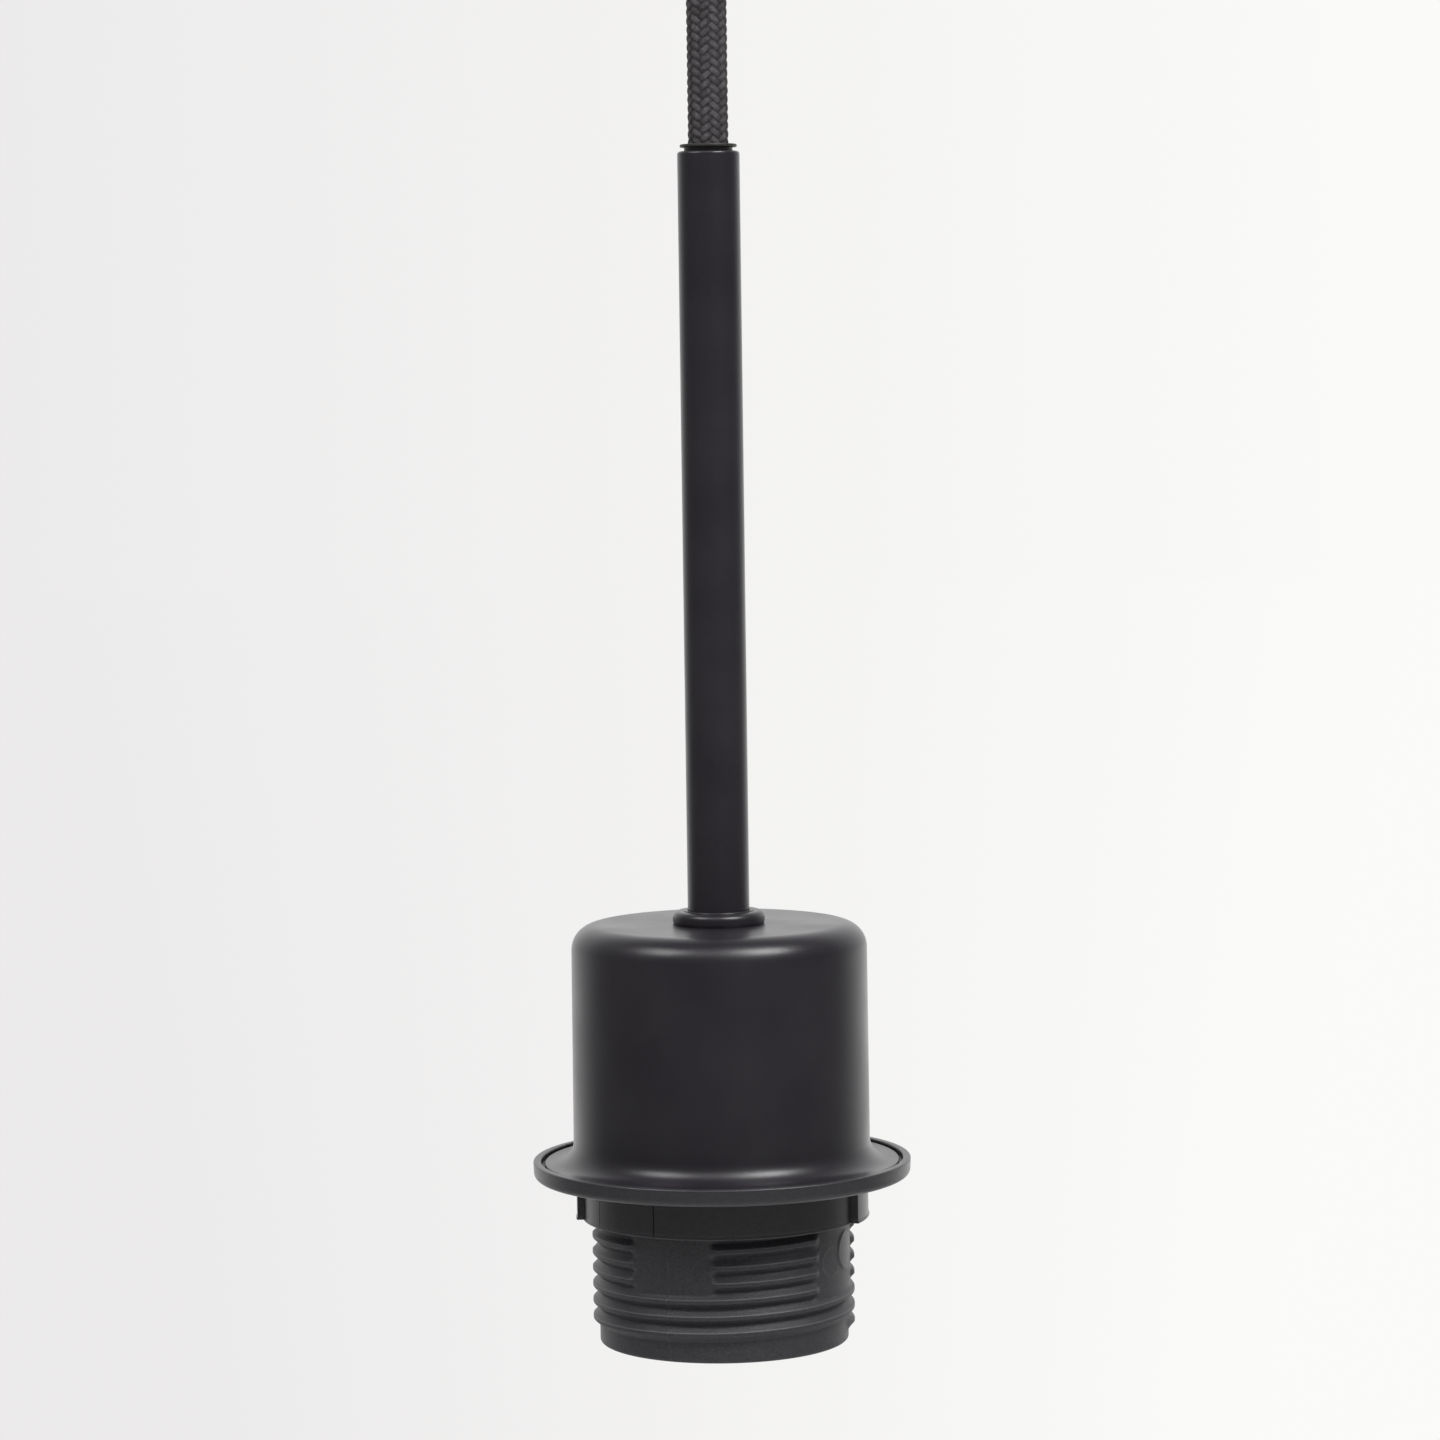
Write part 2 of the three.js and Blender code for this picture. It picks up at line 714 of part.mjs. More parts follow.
function screwShell() {
  const high = baseLow - faceGap - shellSheet;
  const middle = (shellLow + high) / 2;
  const reach = (high - shellLow) / 2;
  const wave = (degrees, z) => {
    const turns = (z - shellLow) / shellPitch - degrees / 360;
    const fade = ramp((reach - Math.abs(z - middle)) / (shellPitch / 2));
    return (shellThreadDepth / 2) * (1 - fade * Math.cos(2 * Math.PI * turns));
  };
  const inner = (degrees, z) => shellMinorRadius + wave(degrees, z);
  const outer = (degrees, z) => inner(degrees, z) + shellSheet;
  const endRadius = shellMinorRadius + shellThreadDepth / 2;
  const angles = evenAngles(plainSides);
  const thread = (radiusAt) =>
    helicalRows(radiusAt, shellPitch, shellLow, shellLow, high, angles, threadRows);
  return closedBody([
    thread(outer),
    ringRows([
      [endRadius + shellSheet, high], [shellFlangeRadius, high],
      [shellFlangeRadius, high + shellSheet], [endRadius, high + shellSheet], [endRadius, high],
    ], angles),
    thread(inner).map((row) => [...row].reverse()),
    ringRows([[endRadius, shellLow], [endRadius + shellSheet, shellLow]], angles),
  ]);
}

// Threaded skirt. The thread's crest is full height at its middle and falls to the root half a
// pitch away. It fades in over its first few degrees and out below the shoulder. Above the lower
// full turns, four smooth panels at half the thread's depth interrupt it.

function toothHeight(offset) {
  const away = Math.abs(offset);
  if (away < threadKnee) return 1 - ((1 - threadKneeHeight) * away) / threadKnee;
  return (threadKneeHeight * (0.5 - away)) / (0.5 - threadKnee);
}

const panelPeriod = 360 / panelCount;

function panelShare(degrees, turn) {
  const along = (((degrees - panelStart) % panelPeriod) + panelPeriod) % panelPeriod;
  const inside = Math.min(along, panelSpan - along);
  const above = Math.min(Math.max((turn - fullTurns) * threadRows, 0), 1);
  return Math.min(Math.max(inside / panelRamp + 0.5, 0), 1) * above;
}

function skirtRadius(angle, z) {
  const degrees = ((((angle + 180) % 360) + 360) % 360) - 180;
  const turn = (z - threadCrestFront) / threadPitch - degrees / 360;
  const nearest = Math.round(turn);
  const fadeIn = ramp(((nearest - threadStartTurn) * 360 + degrees) / threadLeadDegrees);
  const fadeOut = ramp((threadHigh - z) / (threadPitch / 2));
  const tooth = toothHeight(turn - nearest) * fadeIn;
  const share = panelShare(degrees, turn);
  const height = tooth * (1 - share) + (1 - panelDepth / threadDepth) * share;
  return threadRoot + threadDepth * height * fadeOut;
}

// Once round the skirt, with columns on both ends of every ramp at a panel's sides.
function skirtAngles() {
  const steps = (from, to, count) =>
    Array.from({ length: count }, (_, i) => from + ((to - from) * i) / count);
  const half = panelRamp / 2;
  const first = panelStart - 180;
  const angles = [];
  for (let panel = 0; panel < panelCount; panel++) {
    const start = first + panel * panelPeriod;
    const end = start + panelSpan;
    angles.push(
      start - half, ...steps(start + half, end - half, panelColumns),
      end - half, ...steps(end + half, start + panelPeriod - half, threadColumns),
    );
  }
  return [...angles, first - half + 360];
}

function threadedSkirt() {
  const angles = skirtAngles();
  const edge = skirtEdge;
  const thread = helicalRows(
    skirtRadius, threadPitch, threadCrestFront, threadLow, threadHigh, angles, threadRows,
  );
  const rest = ringRows([
    [threadRoot, threadHigh], [threadRoot, skirtShoulder], [spigotRadius, skirtShoulder],
    [spigotRadius, skirtHeight], [skirtBore, skirtHeight], [skirtBore, mouthLip + mouthStep],
    [mouthRadius, mouthLip], [mouthRadius, edge], [mouthRadius + edge, 0],
    [threadRoot - edge, 0], [threadRoot, edge], [threadRoot, threadLow],
  ], angles);
  return closedBody([thread, rest]);
}

// Shade ring. Its collar stands out as two opposite grip pads.

function shadeRing() {
  const floor = ringSeat + ringCollarHeight;
  const edge = ringEdge;
  const padShare = (degrees) => {
    const along = (((degrees - ringPadStart) % 180) + 180) % 180;
    const inside = Math.min(along, ringPadSpan - along);
    return Math.min(Math.max(inside / ringPadRamp, 0), 1);
  };
  const padStops = [ringPadStart, ringPadStart + ringPadRamp];
  padStops.push(padStops[0] + ringPadSpan - ringPadRamp, padStops[0] + ringPadSpan);
  const bothPads = [...padStops, ...padStops.map((degrees) => degrees - 180)];
  const clear = (degrees) => bothPads.every((stop) => Math.abs(stop - degrees) > 2 * ringPadRamp);
  const angles = [...evenAngles(fineSides).filter(clear), ...bothPads].sort((a, b) => a - b);
  const rimTop = ringFloor + ringRimHeight;
  const rimInside = ringRadius - ringRimWidth;
  const rimFoot = ringRadius - ringRimDraft;
  const profileAt = (degrees) => {
    const collar = ringCollarRadius + ringPadRise * padShare(degrees);
    return [
      [ringBore, ringSeat], [collar - 2 * edge, ringSeat], [collar, ringSeat + 2 * edge], [collar, floor],
      [rimFoot - edge, floor], [rimFoot, floor + edge],
      [ringRadius, rimTop - edge], [ringRadius - edge, rimTop],
      [rimInside + edge, rimTop], [rimInside, rimTop - edge],
      [rimInside, ringFloor], [ringBore, ringFloor], [ringBore, ringSeat],
    ];
  };
  const column = (degrees) => profileAt(degrees).map(([r, z]) => wallPoint(r, degrees, z));
  return closedBody([angles.map(column)]);
}

// Assembly

const pendant = new THREE.Group();
const fitting = new THREE.Group();
const grip = new THREE.Group();
const drop = new THREE.Group();
const holder = new THREE.Group();
grip.position.z = -canopyDepth - faceGap;
drop.position.z = gripFace;
holder.position.z = holderBase;
pendant.add(fitting, grip, drop, holder);

function add(group, name, geometry, material) {
  const mesh = new THREE.Mesh(geometry, material());
  mesh.name = name;
  group.add(mesh);
}

add(fitting, 'ceiling_bracket', ceilingBracket(), zincSteel);
add(fitting, 'canopy_cup', canopyCup(), satinPaint);
add(fitting, 'canopy_screw_right', canopyScrew(1), satinPaint);
add(fitting, 'canopy_screw_left', canopyScrew(-1), satinPaint);
add(fitting, 'terminal_block', terminalBlock(), insulator);
add(fitting, 'terminal_block_screw', blockScrew(), zincSteel);
add(fitting, 'ceiling_terminal_screw_live', poleScrew(blockPoleOffset), brass);
add(fitting, 'ceiling_terminal_screw_neutral', poleScrew(-blockPoleOffset), brass);
add(fitting, 'ceiling_wire_live', ceilingWire(1), brownCore);
add(fitting, 'ceiling_wire_neutral', ceilingWire(-1), blueCore);
add(fitting, 'canopy_cord', canopyCord(), braid);

add(grip, 'cord_grip', cordGrip(), mouldedBlack);
add(grip, 'grip_screw', gripScrew(), mouldedBlack);
add(grip, 'grip_nut', hexNut(gripShankRadius, canopySheet + 2 * faceGap), zincSteel);

add(drop, 'cord', strand(cordRoute, cordRadius, cordSides, 5), braid);

add(holder, 'cord_bushing', cordBushing(), bushingNylon);
add(holder, 'stem_tube', stemTube(), satinPaint);
add(holder, 'stem_cord', stemCord(), braid);
add(holder, 'stem_collar', stemCollar(), satinPaint);
add(holder, 'cup_cover', cupCover(), satinPaint);
add(holder, 'lock_nut', hexNut(stemRadius, nutTop - nutHeight), zincSteel);
add(holder, 'holder_cap', holderCap(), mouldedBlack);
add(holder, 'stem_lock_screw', stemLockScrew(), zincSteel);
add(holder, 'contact_base', contactBase(), insulator);
for (const [pole, side, core] of [['live', -1, brownCore], ['neutral', 1, blueCore]]) {
  add(holder, `terminal_${pole}`, terminal(side), brass);
  add(holder, `terminal_screw_${pole}`, terminalScrew(side), nickel);
  add(holder, `holder_wire_${pole}`, holderWire(side), core);
}
add(holder, 'centre_contact', centreContact(), brass);
add(holder, 'contact_rivet', contactRivet(), brass);
add(holder, 'screw_shell', screwShell(), nickel);
add(holder, 'threaded_skirt', threadedSkirt(), mouldedBlack);
add(holder, 'shade_ring', shadeRing(), mouldedBlack);

export default pendant;
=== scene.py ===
import math

import bmesh
import bpy
import numpy as np
from mathutils import Matrix, Vector


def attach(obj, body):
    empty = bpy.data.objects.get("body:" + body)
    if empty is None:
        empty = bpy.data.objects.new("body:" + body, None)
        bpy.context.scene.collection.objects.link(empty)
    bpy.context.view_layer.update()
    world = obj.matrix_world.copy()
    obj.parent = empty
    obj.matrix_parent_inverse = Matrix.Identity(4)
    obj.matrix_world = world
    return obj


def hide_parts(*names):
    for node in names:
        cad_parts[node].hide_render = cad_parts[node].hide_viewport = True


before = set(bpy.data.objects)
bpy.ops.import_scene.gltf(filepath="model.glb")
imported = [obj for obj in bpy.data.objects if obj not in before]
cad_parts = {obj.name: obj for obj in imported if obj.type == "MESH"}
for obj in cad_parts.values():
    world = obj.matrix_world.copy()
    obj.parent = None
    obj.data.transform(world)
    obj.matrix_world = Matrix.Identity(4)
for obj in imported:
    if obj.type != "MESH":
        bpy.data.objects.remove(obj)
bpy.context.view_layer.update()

mm = 0.001
print("frame loaded:", len(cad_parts), "nodes")

# heights that the pieces share, in mm; the mouth of the skirt is at mouthLevel below the ceiling
mouthLevel = -295.55
gripFace = -53.05
ringFloor = 26.95
coverTop = 64.0
stemTop = 180.8


# --- camera ---
camera = {
    "side": 0.6,          # mm off the axis
    "distance": 707.4,    # mm in front of the axis
    "height": 150.0,      # mm above the mouth of the skirt
    "pitch": 4.446,       # degrees down
    "roll": 0.78,
    "focal": 4674.0,      # in pixels of the frame
    "frame": 1440,        # pixels across
    "sensor": 36,         # mm across
    "clip": (0.05, 60),   # metres
}


def makeCamera():
    # the image axes are the level camera's right and up, turned by the roll
    p, r = math.radians(camera["pitch"]), math.radians(camera["roll"])
    right, up = np.array([1, 0, 0]), np.array([0, math.sin(p), math.cos(p)])
    forward = np.array([0, math.cos(p), -math.sin(p)])
    turnedRight = math.cos(r) * right - math.sin(r) * up
    turnedUp = math.sin(r) * right + math.cos(r) * up
    data = bpy.data.cameras.new("camera")
    data.sensor_width = camera["sensor"]
    data.lens = camera["focal"] / camera["frame"] * camera["sensor"]
    data.clip_start, data.clip_end = camera["clip"]
    item = bpy.data.objects.new("camera", data)
    bpy.context.collection.objects.link(item)
    item.rotation_euler = Matrix(np.column_stack([turnedRight, turnedUp, -forward]).tolist()).to_euler()
    item.location = (camera["side"] * mm, -camera["distance"] * mm, (mouthLevel + camera["height"]) * mm)
    bpy.context.scene.camera = item


makeCamera()


# --- shared mesh code ---
meetDistance = 2e-6    # metres; points closer than this become one
emptyDistance = 1e-7   # metres; edges shorter than this are taken out


def rounded(corners, steps=6):
    # each corner (r, z, radius) is replaced by the arc of that radius that touches both its sides
    p = np.array([c[:2] for c in corners], float)
    out = []
    for i, (r, z, radius) in enumerate(corners):
        if radius == 0:
            out.append(p[i:i + 1])
            continue
        u, v = p[i - 1] - p[i], p[(i + 1) % len(p)] - p[i]
        u, v = u / np.linalg.norm(u), v / np.linalg.norm(v)
        half = math.acos(np.clip(u @ v, -1, 1)) / 2
        centre = p[i] + (u + v) / np.linalg.norm(u + v) * radius / math.sin(half)
        a, b = p[i] + u * radius / math.tan(half) - centre, p[i] + v * radius / math.tan(half) - centre
        swing = math.pi - 2 * half
        t = np.linspace(0, 1, steps + 1)[:, None]
        out.append(centre + (np.sin((1 - t) * swing) * a + np.sin(t * swing) * b) / math.sin(swing))
    return np.concatenate(out)


def spread(points, step=0.7):
    # long sides of a closed outline are divided evenly, so that shading stays level along them
    closed = np.vstack([points, points[:1]])
    parts = []
    for a, b in zip(closed[:-1], closed[1:]):
        n = max(1, int(np.ceil(np.linalg.norm(b - a) / step)))
        parts.append(a + (b - a) * (np.arange(n) / n)[:, None])
    return np.concatenate(parts)


def turn(radius, height, degrees):
    # a point at radius r and bearing t from the front: (r sin t, -r cos t, z), in metres
    t = np.radians(degrees)
    x, y, z = np.broadcast_arrays(radius * np.sin(t), -radius * np.cos(t), height)
    return np.stack([x, y, z], -1) * mm


def surface(name, grids, sharp=38, attributes=None):
    # every grid of points is joined by four-sided faces, and points that meet are merged
    points, faces, base = [], [], 0
    for grid in grids:
        rows, columns = grid.shape[:2]
        index = base + np.arange(rows * columns).reshape(rows, columns)
        quads = np.stack([index[:-1, :-1], index[:-1, 1:], index[1:, 1:], index[1:, :-1]], -1)
        points.append(grid.reshape(-1, 3))
        faces.append(quads.reshape(-1, 4))
        base += rows * columns
    points, faces = np.concatenate(points), np.concatenate(faces)
    mesh = bpy.data.meshes.new(name)
    mesh.vertices.add(len(points))
    mesh.vertices.foreach_set("co", points.astype(np.float32).ravel())
    mesh.loops.add(faces.size)
    mesh.loops.foreach_set("vertex_index", faces.astype(np.int32).ravel())
    mesh.polygons.add(len(faces))
    mesh.polygons.foreach_set("loop_start", np.arange(0, faces.size, 4, dtype=np.int32))
    mesh.update(calc_edges=True)
    for key, values in (attributes or {}).items():
        data = mesh.attributes.new(key, "FLOAT", "POINT").data
        data.foreach_set("value", values.astype(np.float32).ravel())
    bm = bmesh.new()
    bm.from_mesh(mesh)
    bmesh.ops.remove_doubles(bm, verts=bm.verts, dist=meetDistance)
    bmesh.ops.dissolve_degenerate(bm, edges=bm.edges, dist=emptyDistance)
    if bm.calc_volume(signed=True) < 0:
        bmesh.ops.reverse_faces(bm, faces=bm.faces)
    bm.to_mesh(mesh)
    bm.free()
    mesh.polygons.foreach_set("use_smooth", np.ones(len(mesh.polygons), bool))
    mesh.set_sharp_from_angle(angle=math.radians(sharp))
    item = bpy.data.objects.new(name, mesh)
    bpy.context.collection.objects.link(item)
    return item


def revolved(name, outline, level, columns=256):
    # the outline of (r, z) is carried round the axis: x = r sin t, y = -r cos t
    loop = np.vstack([outline, outline[:1]])
    degrees = np.linspace(-180, 180, columns + 1)
    return surface(name, [turn(loop[:, :1], loop[:, 1:] + level, degrees[None])])


def smooth(value):
    # 3 v^2 - 2 v^3, held between 0 and 1
    v = np.clip(value, 0, 1)
    return v * v * (3 - 2 * v)


def finished(item, material, body, slot, *nodes):
    # the piece takes its material, the nodes that it stands for and its body; the slot is not used
    item.data.materials.append(material)
    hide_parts(*nodes)
    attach(item, body)
    return item


# --- materials ---
def newMaterial(name, colour, roughness, metallic=0.0):
    # the last result is the place on the piece, for patterns
    material = bpy.data.materials.new(name)
    material.use_nodes = True
    nodes, links = material.node_tree.nodes, material.node_tree.links
    shader = nodes["Principled BSDF"]
    shader.inputs["Base Color"].default_value = (*colour, 1)
    shader.inputs["Roughness"].default_value = roughness
    shader.inputs["Metallic"].default_value = metallic
    place = nodes.new("ShaderNodeTexCoord").outputs["Object"]
    return material, nodes, links, shader, place


def noise(nodes, links, vector, scale, detail=2.0, rough=0.5):
    n = nodes.new("ShaderNodeTexNoise")
    n.inputs["Scale"].default_value = scale
    n.inputs["Detail"].default_value = detail
    n.inputs["Roughness"].default_value = rough
    links.new(vector, n.inputs["Vector"])
    return n.outputs["Fac"]


def maths(nodes, links, kind, *values):
    # each value is a linked output or a plain number
    n = nodes.new("ShaderNodeMath")
    n.operation = kind
    for socket, value in zip(n.inputs, values):
        if isinstance(value, (int, float)):
            socket.default_value = value
        else:
            links.new(value, socket)
    return n.outputs["Value"]


def between(nodes, links, value, low, high, start=0.3, end=0.7):
    # a value from start to end becomes one from low to high
    n = nodes.new("ShaderNodeMapRange")
    n.inputs["From Min"].default_value, n.inputs["From Max"].default_value = start, end
    n.inputs["To Min"].default_value, n.inputs["To Max"].default_value = low, high
    links.new(value, n.inputs["Value"])
    return n.outputs["Result"]


def blended(nodes, links, value, first, second):
    # the first colour at 0, the second at 1
    n = nodes.new("ShaderNodeMix")
    n.data_type = "RGBA"
    n.inputs["A"].default_value, n.inputs["B"].default_value = (*first, 1), (*second, 1)
    links.new(value, n.inputs["Factor"])
    return n.outputs["Result"]


def attribute(nodes, name):
    n = nodes.new("ShaderNodeAttribute")
    n.attribute_name = name
    return n.outputs["Fac"]


def towards(nodes, links, factor, value, end, kind="FLOAT"):
    # the linked value, moved to a fixed end by the factor
    n = nodes.new("ShaderNodeMix")
    n.data_type = kind
    n.inputs["B"].default_value = end
    links.new(factor, n.inputs["Factor"])
    links.new(value, n.inputs["A"])
    return n.outputs["Result"]


def bumped(nodes, links, shader, height, strength, distance):
    # the distance is in metres
    n = nodes.new("ShaderNodeBump")
    n.inputs["Strength"].default_value = strength
    n.inputs["Distance"].default_value = distance
    links.new(height, n.inputs["Height"])
    links.new(n.outputs["Normal"], shader.inputs["Normal"])


paint = {
    "dark": (0.0124, 0.0103, 0.0146), "light": (0.0166, 0.0144, 0.0188),
    "roughness": (0.31, 0.37), "cloud": 90, "skin": 1700, "skinStrength": 0.05, "skinDepth": 0.0002,
}


def makePaint():
    # powder paint: wide clouds of tone and gloss, and a fine skin
    material, nodes, links, shader, place = newMaterial("satinPaint", paint["dark"], 0.4)
    cloud = noise(nodes, links, place, paint["cloud"], 3)
    share = between(nodes, links, cloud, 0, 1)
    links.new(blended(nodes, links, share, paint["dark"], paint["light"]), shader.inputs["Base Color"])
    links.new(between(nodes, links, cloud, *paint["roughness"]), shader.inputs["Roughness"])
    skin = noise(nodes, links, place, paint["skin"], 2)
    bumped(nodes, links, shader, skin, paint["skinStrength"], paint["skinDepth"])
    return material


moulded = {
    "dark": (0.0185, 0.0183, 0.0212), "light": (0.048, 0.0475, 0.054),
    "roughness": (0.42, 0.54), "grain": 3600, "grainStrength": 0.6, "grainDepth": 0.00012,
    "toneRange": (0.32, 0.74),
    # the last colour here is the light tone of the painted highlight lines
    "polished": 0.24, "smooth": (0.021, 0.02, 0.0225), "highlightTone": (0.21, 0.205, 0.215),
}


def makeMoulded():
    # spark-eroded grain: fine bumps, a little lighter on their tops; the attribute "polish" marks
    # where the grain is left out, and a second attribute marks thin edge lines painted lighter as highlights
    material, nodes, links, shader, place = newMaterial("mouldedPlastic", moulded["dark"], 0.58)
    grain = noise(nodes, links, place, moulded["grain"], 3, 0.6)
    polish, paintedHighlight = attribute(nodes, "polish"), attribute(nodes, "paintedHighlight")
    share = between(nodes, links, grain, 0, 1, *moulded["toneRange"])
    grained = blended(nodes, links, share, moulded["dark"], moulded["light"])
    smoothed = towards(nodes, links, polish, grained, (*moulded["smooth"], 1), "RGBA")
    # painted highlights: along the marked lines the colour moves to that light tone
    highlightTone = towards(nodes, links, paintedHighlight, smoothed, (*moulded["highlightTone"], 1), "RGBA")
    links.new(highlightTone, shader.inputs["Base Color"])
    rough = between(nodes, links, grain, *moulded["roughness"])
    links.new(towards(nodes, links, polish, rough, moulded["polished"]), shader.inputs["Roughness"])
    height = towards(nodes, links, polish, grain, 0.5)
    bumped(nodes, links, shader, height, moulded["grainStrength"], moulded["grainDepth"])
    return material


plainFinishes = {
    "blackNylon": {
        "dark": (0.014, 0.0125, 0.0105), "light": (0.022, 0.02, 0.017), "roughness": 0.46, "scale": 1500,
    },
    "zincSteel": {
        "dark": (0.42, 0.44, 0.46), "light": (0.56, 0.57, 0.57), "roughness": 0.36, "scale": 500,
        "metallic": 1.0, "bump": 0.1, "stretch": (0.2, 3, 1),
    },
    "brassMetal": {
        "dark": (0.46, 0.28, 0.07), "light": (0.58, 0.38, 0.12), "roughness": 0.32, "scale": 600,
        "metallic": 1.0,
    },
    "nickelMetal": {
        "dark": (0.5, 0.47, 0.41), "light": (0.62, 0.59, 0.53), "roughness": 0.28, "scale": 700,
        "metallic": 1.0,
    },
    "whiteInsulator": {
        "dark": (0.7, 0.67, 0.6), "light": (0.8, 0.77, 0.7), "roughness": 0.5, "scale": 900,
    },
    "brownCore": {
        "dark": (0.11, 0.035, 0.012), "light": (0.15, 0.05, 0.018), "roughness": 0.42, "scale": 900,
    },
    "blueCore": {
        "dark": (0.02, 0.09, 0.28), "light": (0.03, 0.12, 0.36), "roughness": 0.42, "scale": 900,
    },
}
plainSpread = (-0.05, 0.07)   # how far the roughness strays from its middle
plainDepth = 0.0001           # metres


def makePlain(name, dark, light, roughness, scale, metallic=0.0, bump=0.05, stretch=(1, 1, 1)):
    # one noise moves the colour, the roughness and a slight bump; stretch gives it a rolled direction
    material, nodes, links, shader, place = newMaterial(name, dark, roughness, metallic)
    mapping = nodes.new("ShaderNodeMapping")
    mapping.inputs["Scale"].default_value = stretch
    links.new(place, mapping.inputs["Vector"])
    grain = noise(nodes, links, mapping.outputs["Vector"], scale, 3)
    share = between(nodes, links, grain, 0, 1)
    links.new(blended(nodes, links, share, dark, light), shader.inputs["Base Color"])
    rough = between(nodes, links, grain, roughness + plainSpread[0], roughness + plainSpread[1])
    links.new(rough, shader.inputs["Roughness"])
    bumped(nodes, links, shader, grain, bump, plainDepth)
    return material


satinPaint = makePaint()
mouldedPlastic = makeMoulded()
plain = {name: makePlain(name, **facts) for name, facts in plainFinishes.items()}
print("materials made")


# --- cord ---
cordStart, cordEnd = -0.3, -60.3   # mm below the grip's lower face
braid = {
    "radius": 3.0, "carriers": 12, "pick": 1.3, "relief": 0.27, "columns": 192, "rows": 500,
    "overrun": 0.5,   # mm that each end reaches into the grip and the bushing
    "roundness": 0.93, "dive": 0.7, "crownRise": 0.06, "stray": 0.05,
    "roughness": 0.62, "specular": 0.3, "toneRange": (0.7, 1.25), "fuzz": 2600,
    "filaments": 44, "filamentStrength": 0.5, "filamentDepth": 0.00003,
    # groove is a painted shade between the yarns, and lit is a painted highlight on their crowns
    "groove": (0.0145, 0.0135, 0.0145), "yarn": (0.0495, 0.045, 0.049), "lit": (0.1015, 0.094, 0.0995),
}


def braidedCord(name, top, bottom):
    # a = n t + z / p and b = n t - z / p count the yarns of both directions; the whole parts add up to a
    # number that is 0 or 1 (of 4) where the first lies on top; each float is a half ellipse across
    # and a rounded hump along; sway is a number from 0 to 1 that a yarn keeps along its whole length
    n, p = braid["carriers"], braid["pick"]
    t = np.linspace(0, 1, braid["columns"] + 1)[None]
    z = np.linspace(top, bottom, braid["rows"])[:, None]
    a, b = n * t + z / p, n * t - z / p
    tiny = 1e-9   # keeps a whole number whole
    wholeA, wholeB = np.floor(a + tiny), np.floor(b + tiny)
    firstUp = np.mod(wholeA + wholeB, 4) < 2
    across = np.where(firstUp, a - wholeA, b - wholeB) * 2 - 1
    along = np.where(firstUp, np.mod(wholeA + b, 4), np.mod(a + wholeB, 4) - 2) / 2
    along = np.clip(along, 0, 1)
    half = np.sqrt(np.clip(1 - (braid["roundness"] * across) ** 2, 0, 1))
    hump = half * (1 - braid["dive"] + braid["dive"] * np.sin(np.pi * along) ** 0.7)
    which = np.where(firstUp, wholeA, wholeB + 40)
    sway = np.mod(np.sin(which * 12.9898) * 43758.5453, 1)   # a fixed scatter of the yarns' numbers
    radius = braid["radius"] + braid["crownRise"] + braid["relief"] * (hump - 1)
    radius = radius + braid["stray"] * (sway - 0.5) * hump
    grid = turn(radius, z + 0 * t, t * 360)
    caps = [turn(0 * t, edge + 0 * t, t * 360) for edge in (top, bottom)]
    grid = np.concatenate([caps[0], grid, caps[1]])
    fibre = across * 0.5 + 0.5

    def padded(values):
        return np.concatenate([values[:1], values, values[-1:]])

    return surface(name, [grid], 180, {
        "crown": padded(hump), "fibre": padded(fibre), "yarn": padded(sway),
    })


def makeBraid():
    # painted shade darkens the grooves and a painted highlight lightens the crowns, with fine filaments along
    # each yarn
    material, nodes, links, shader, place = newMaterial("braidedYarn", braid["yarn"], braid["roughness"])
    crown = between(nodes, links, attribute(nodes, "crown"), 0, 1, 0.25, 0.95)
    inner = blended(nodes, links, crown, braid["groove"], braid["yarn"])
    fuzz = noise(nodes, links, place, braid["fuzz"], 4, 0.7)
    # the painted highlight on the crowns, broken up by the fuzz
    share = maths(nodes, links, "MULTIPLY", between(nodes, links, fuzz, 0, 1, 0.4, 0.75), crown)
    lit = towards(nodes, links, share, inner, (*braid["lit"], 1), "RGBA")
    tone = nodes.new("ShaderNodeMix")
    tone.data_type, tone.blend_type = "RGBA", "MULTIPLY"
    tone.inputs["Factor"].default_value = 1.0
    links.new(lit, tone.inputs["A"])
    links.new(between(nodes, links, attribute(nodes, "yarn"), *braid["toneRange"], 0, 1), tone.inputs["B"])
    links.new(tone.outputs["Result"], shader.inputs["Base Color"])
    scaled = maths(nodes, links, "MULTIPLY", attribute(nodes, "fibre"), braid["filaments"])
    waves = maths(nodes, links, "SINE", scaled)
    both = maths(nodes, links, "ADD", waves, between(nodes, links, fuzz, -1.5, 1.5))
    bumped(nodes, links, shader, both, braid["filamentStrength"], braid["filamentDepth"])
    shader.inputs["Specular IOR Level"].default_value = braid["specular"]
    return material


braidedYarn = makeBraid()
cordPiece = braidedCord(
    "braidedCord", gripFace + cordStart + braid["overrun"], gripFace + cordEnd - braid["overrun"])
finished(cordPiece, braidedYarn, "pendant", "black_braid", "cord")
print("cord made")


# --- stem, bushing and collar ---
stem = {"radius": 4.7, "bore": 3.9, "low": 52.9, "top": stemTop, "endRound": 0.45}


def makeStem():
    # one wall, carried round the axis, with a rounded upper lip
    outline = rounded([
        (stem["bore"], stem["low"], 0), (stem["radius"], stem["low"], 0),
        (stem["radius"], stem["top"], stem["endRound"]), (stem["bore"], stem["top"], 0.1),
    ], 8)
    return revolved("stemTube", spread(outline, 1.2), mouthLevel, 192)


bushing = {
    "bore": 3.15, "lead": 0.3, "body": 3.65, "depth": 9, "flange": 4.3, "thick": 0.42, "gap": 0.62,
    "dome": 0.06, "droop": 0.04,
}


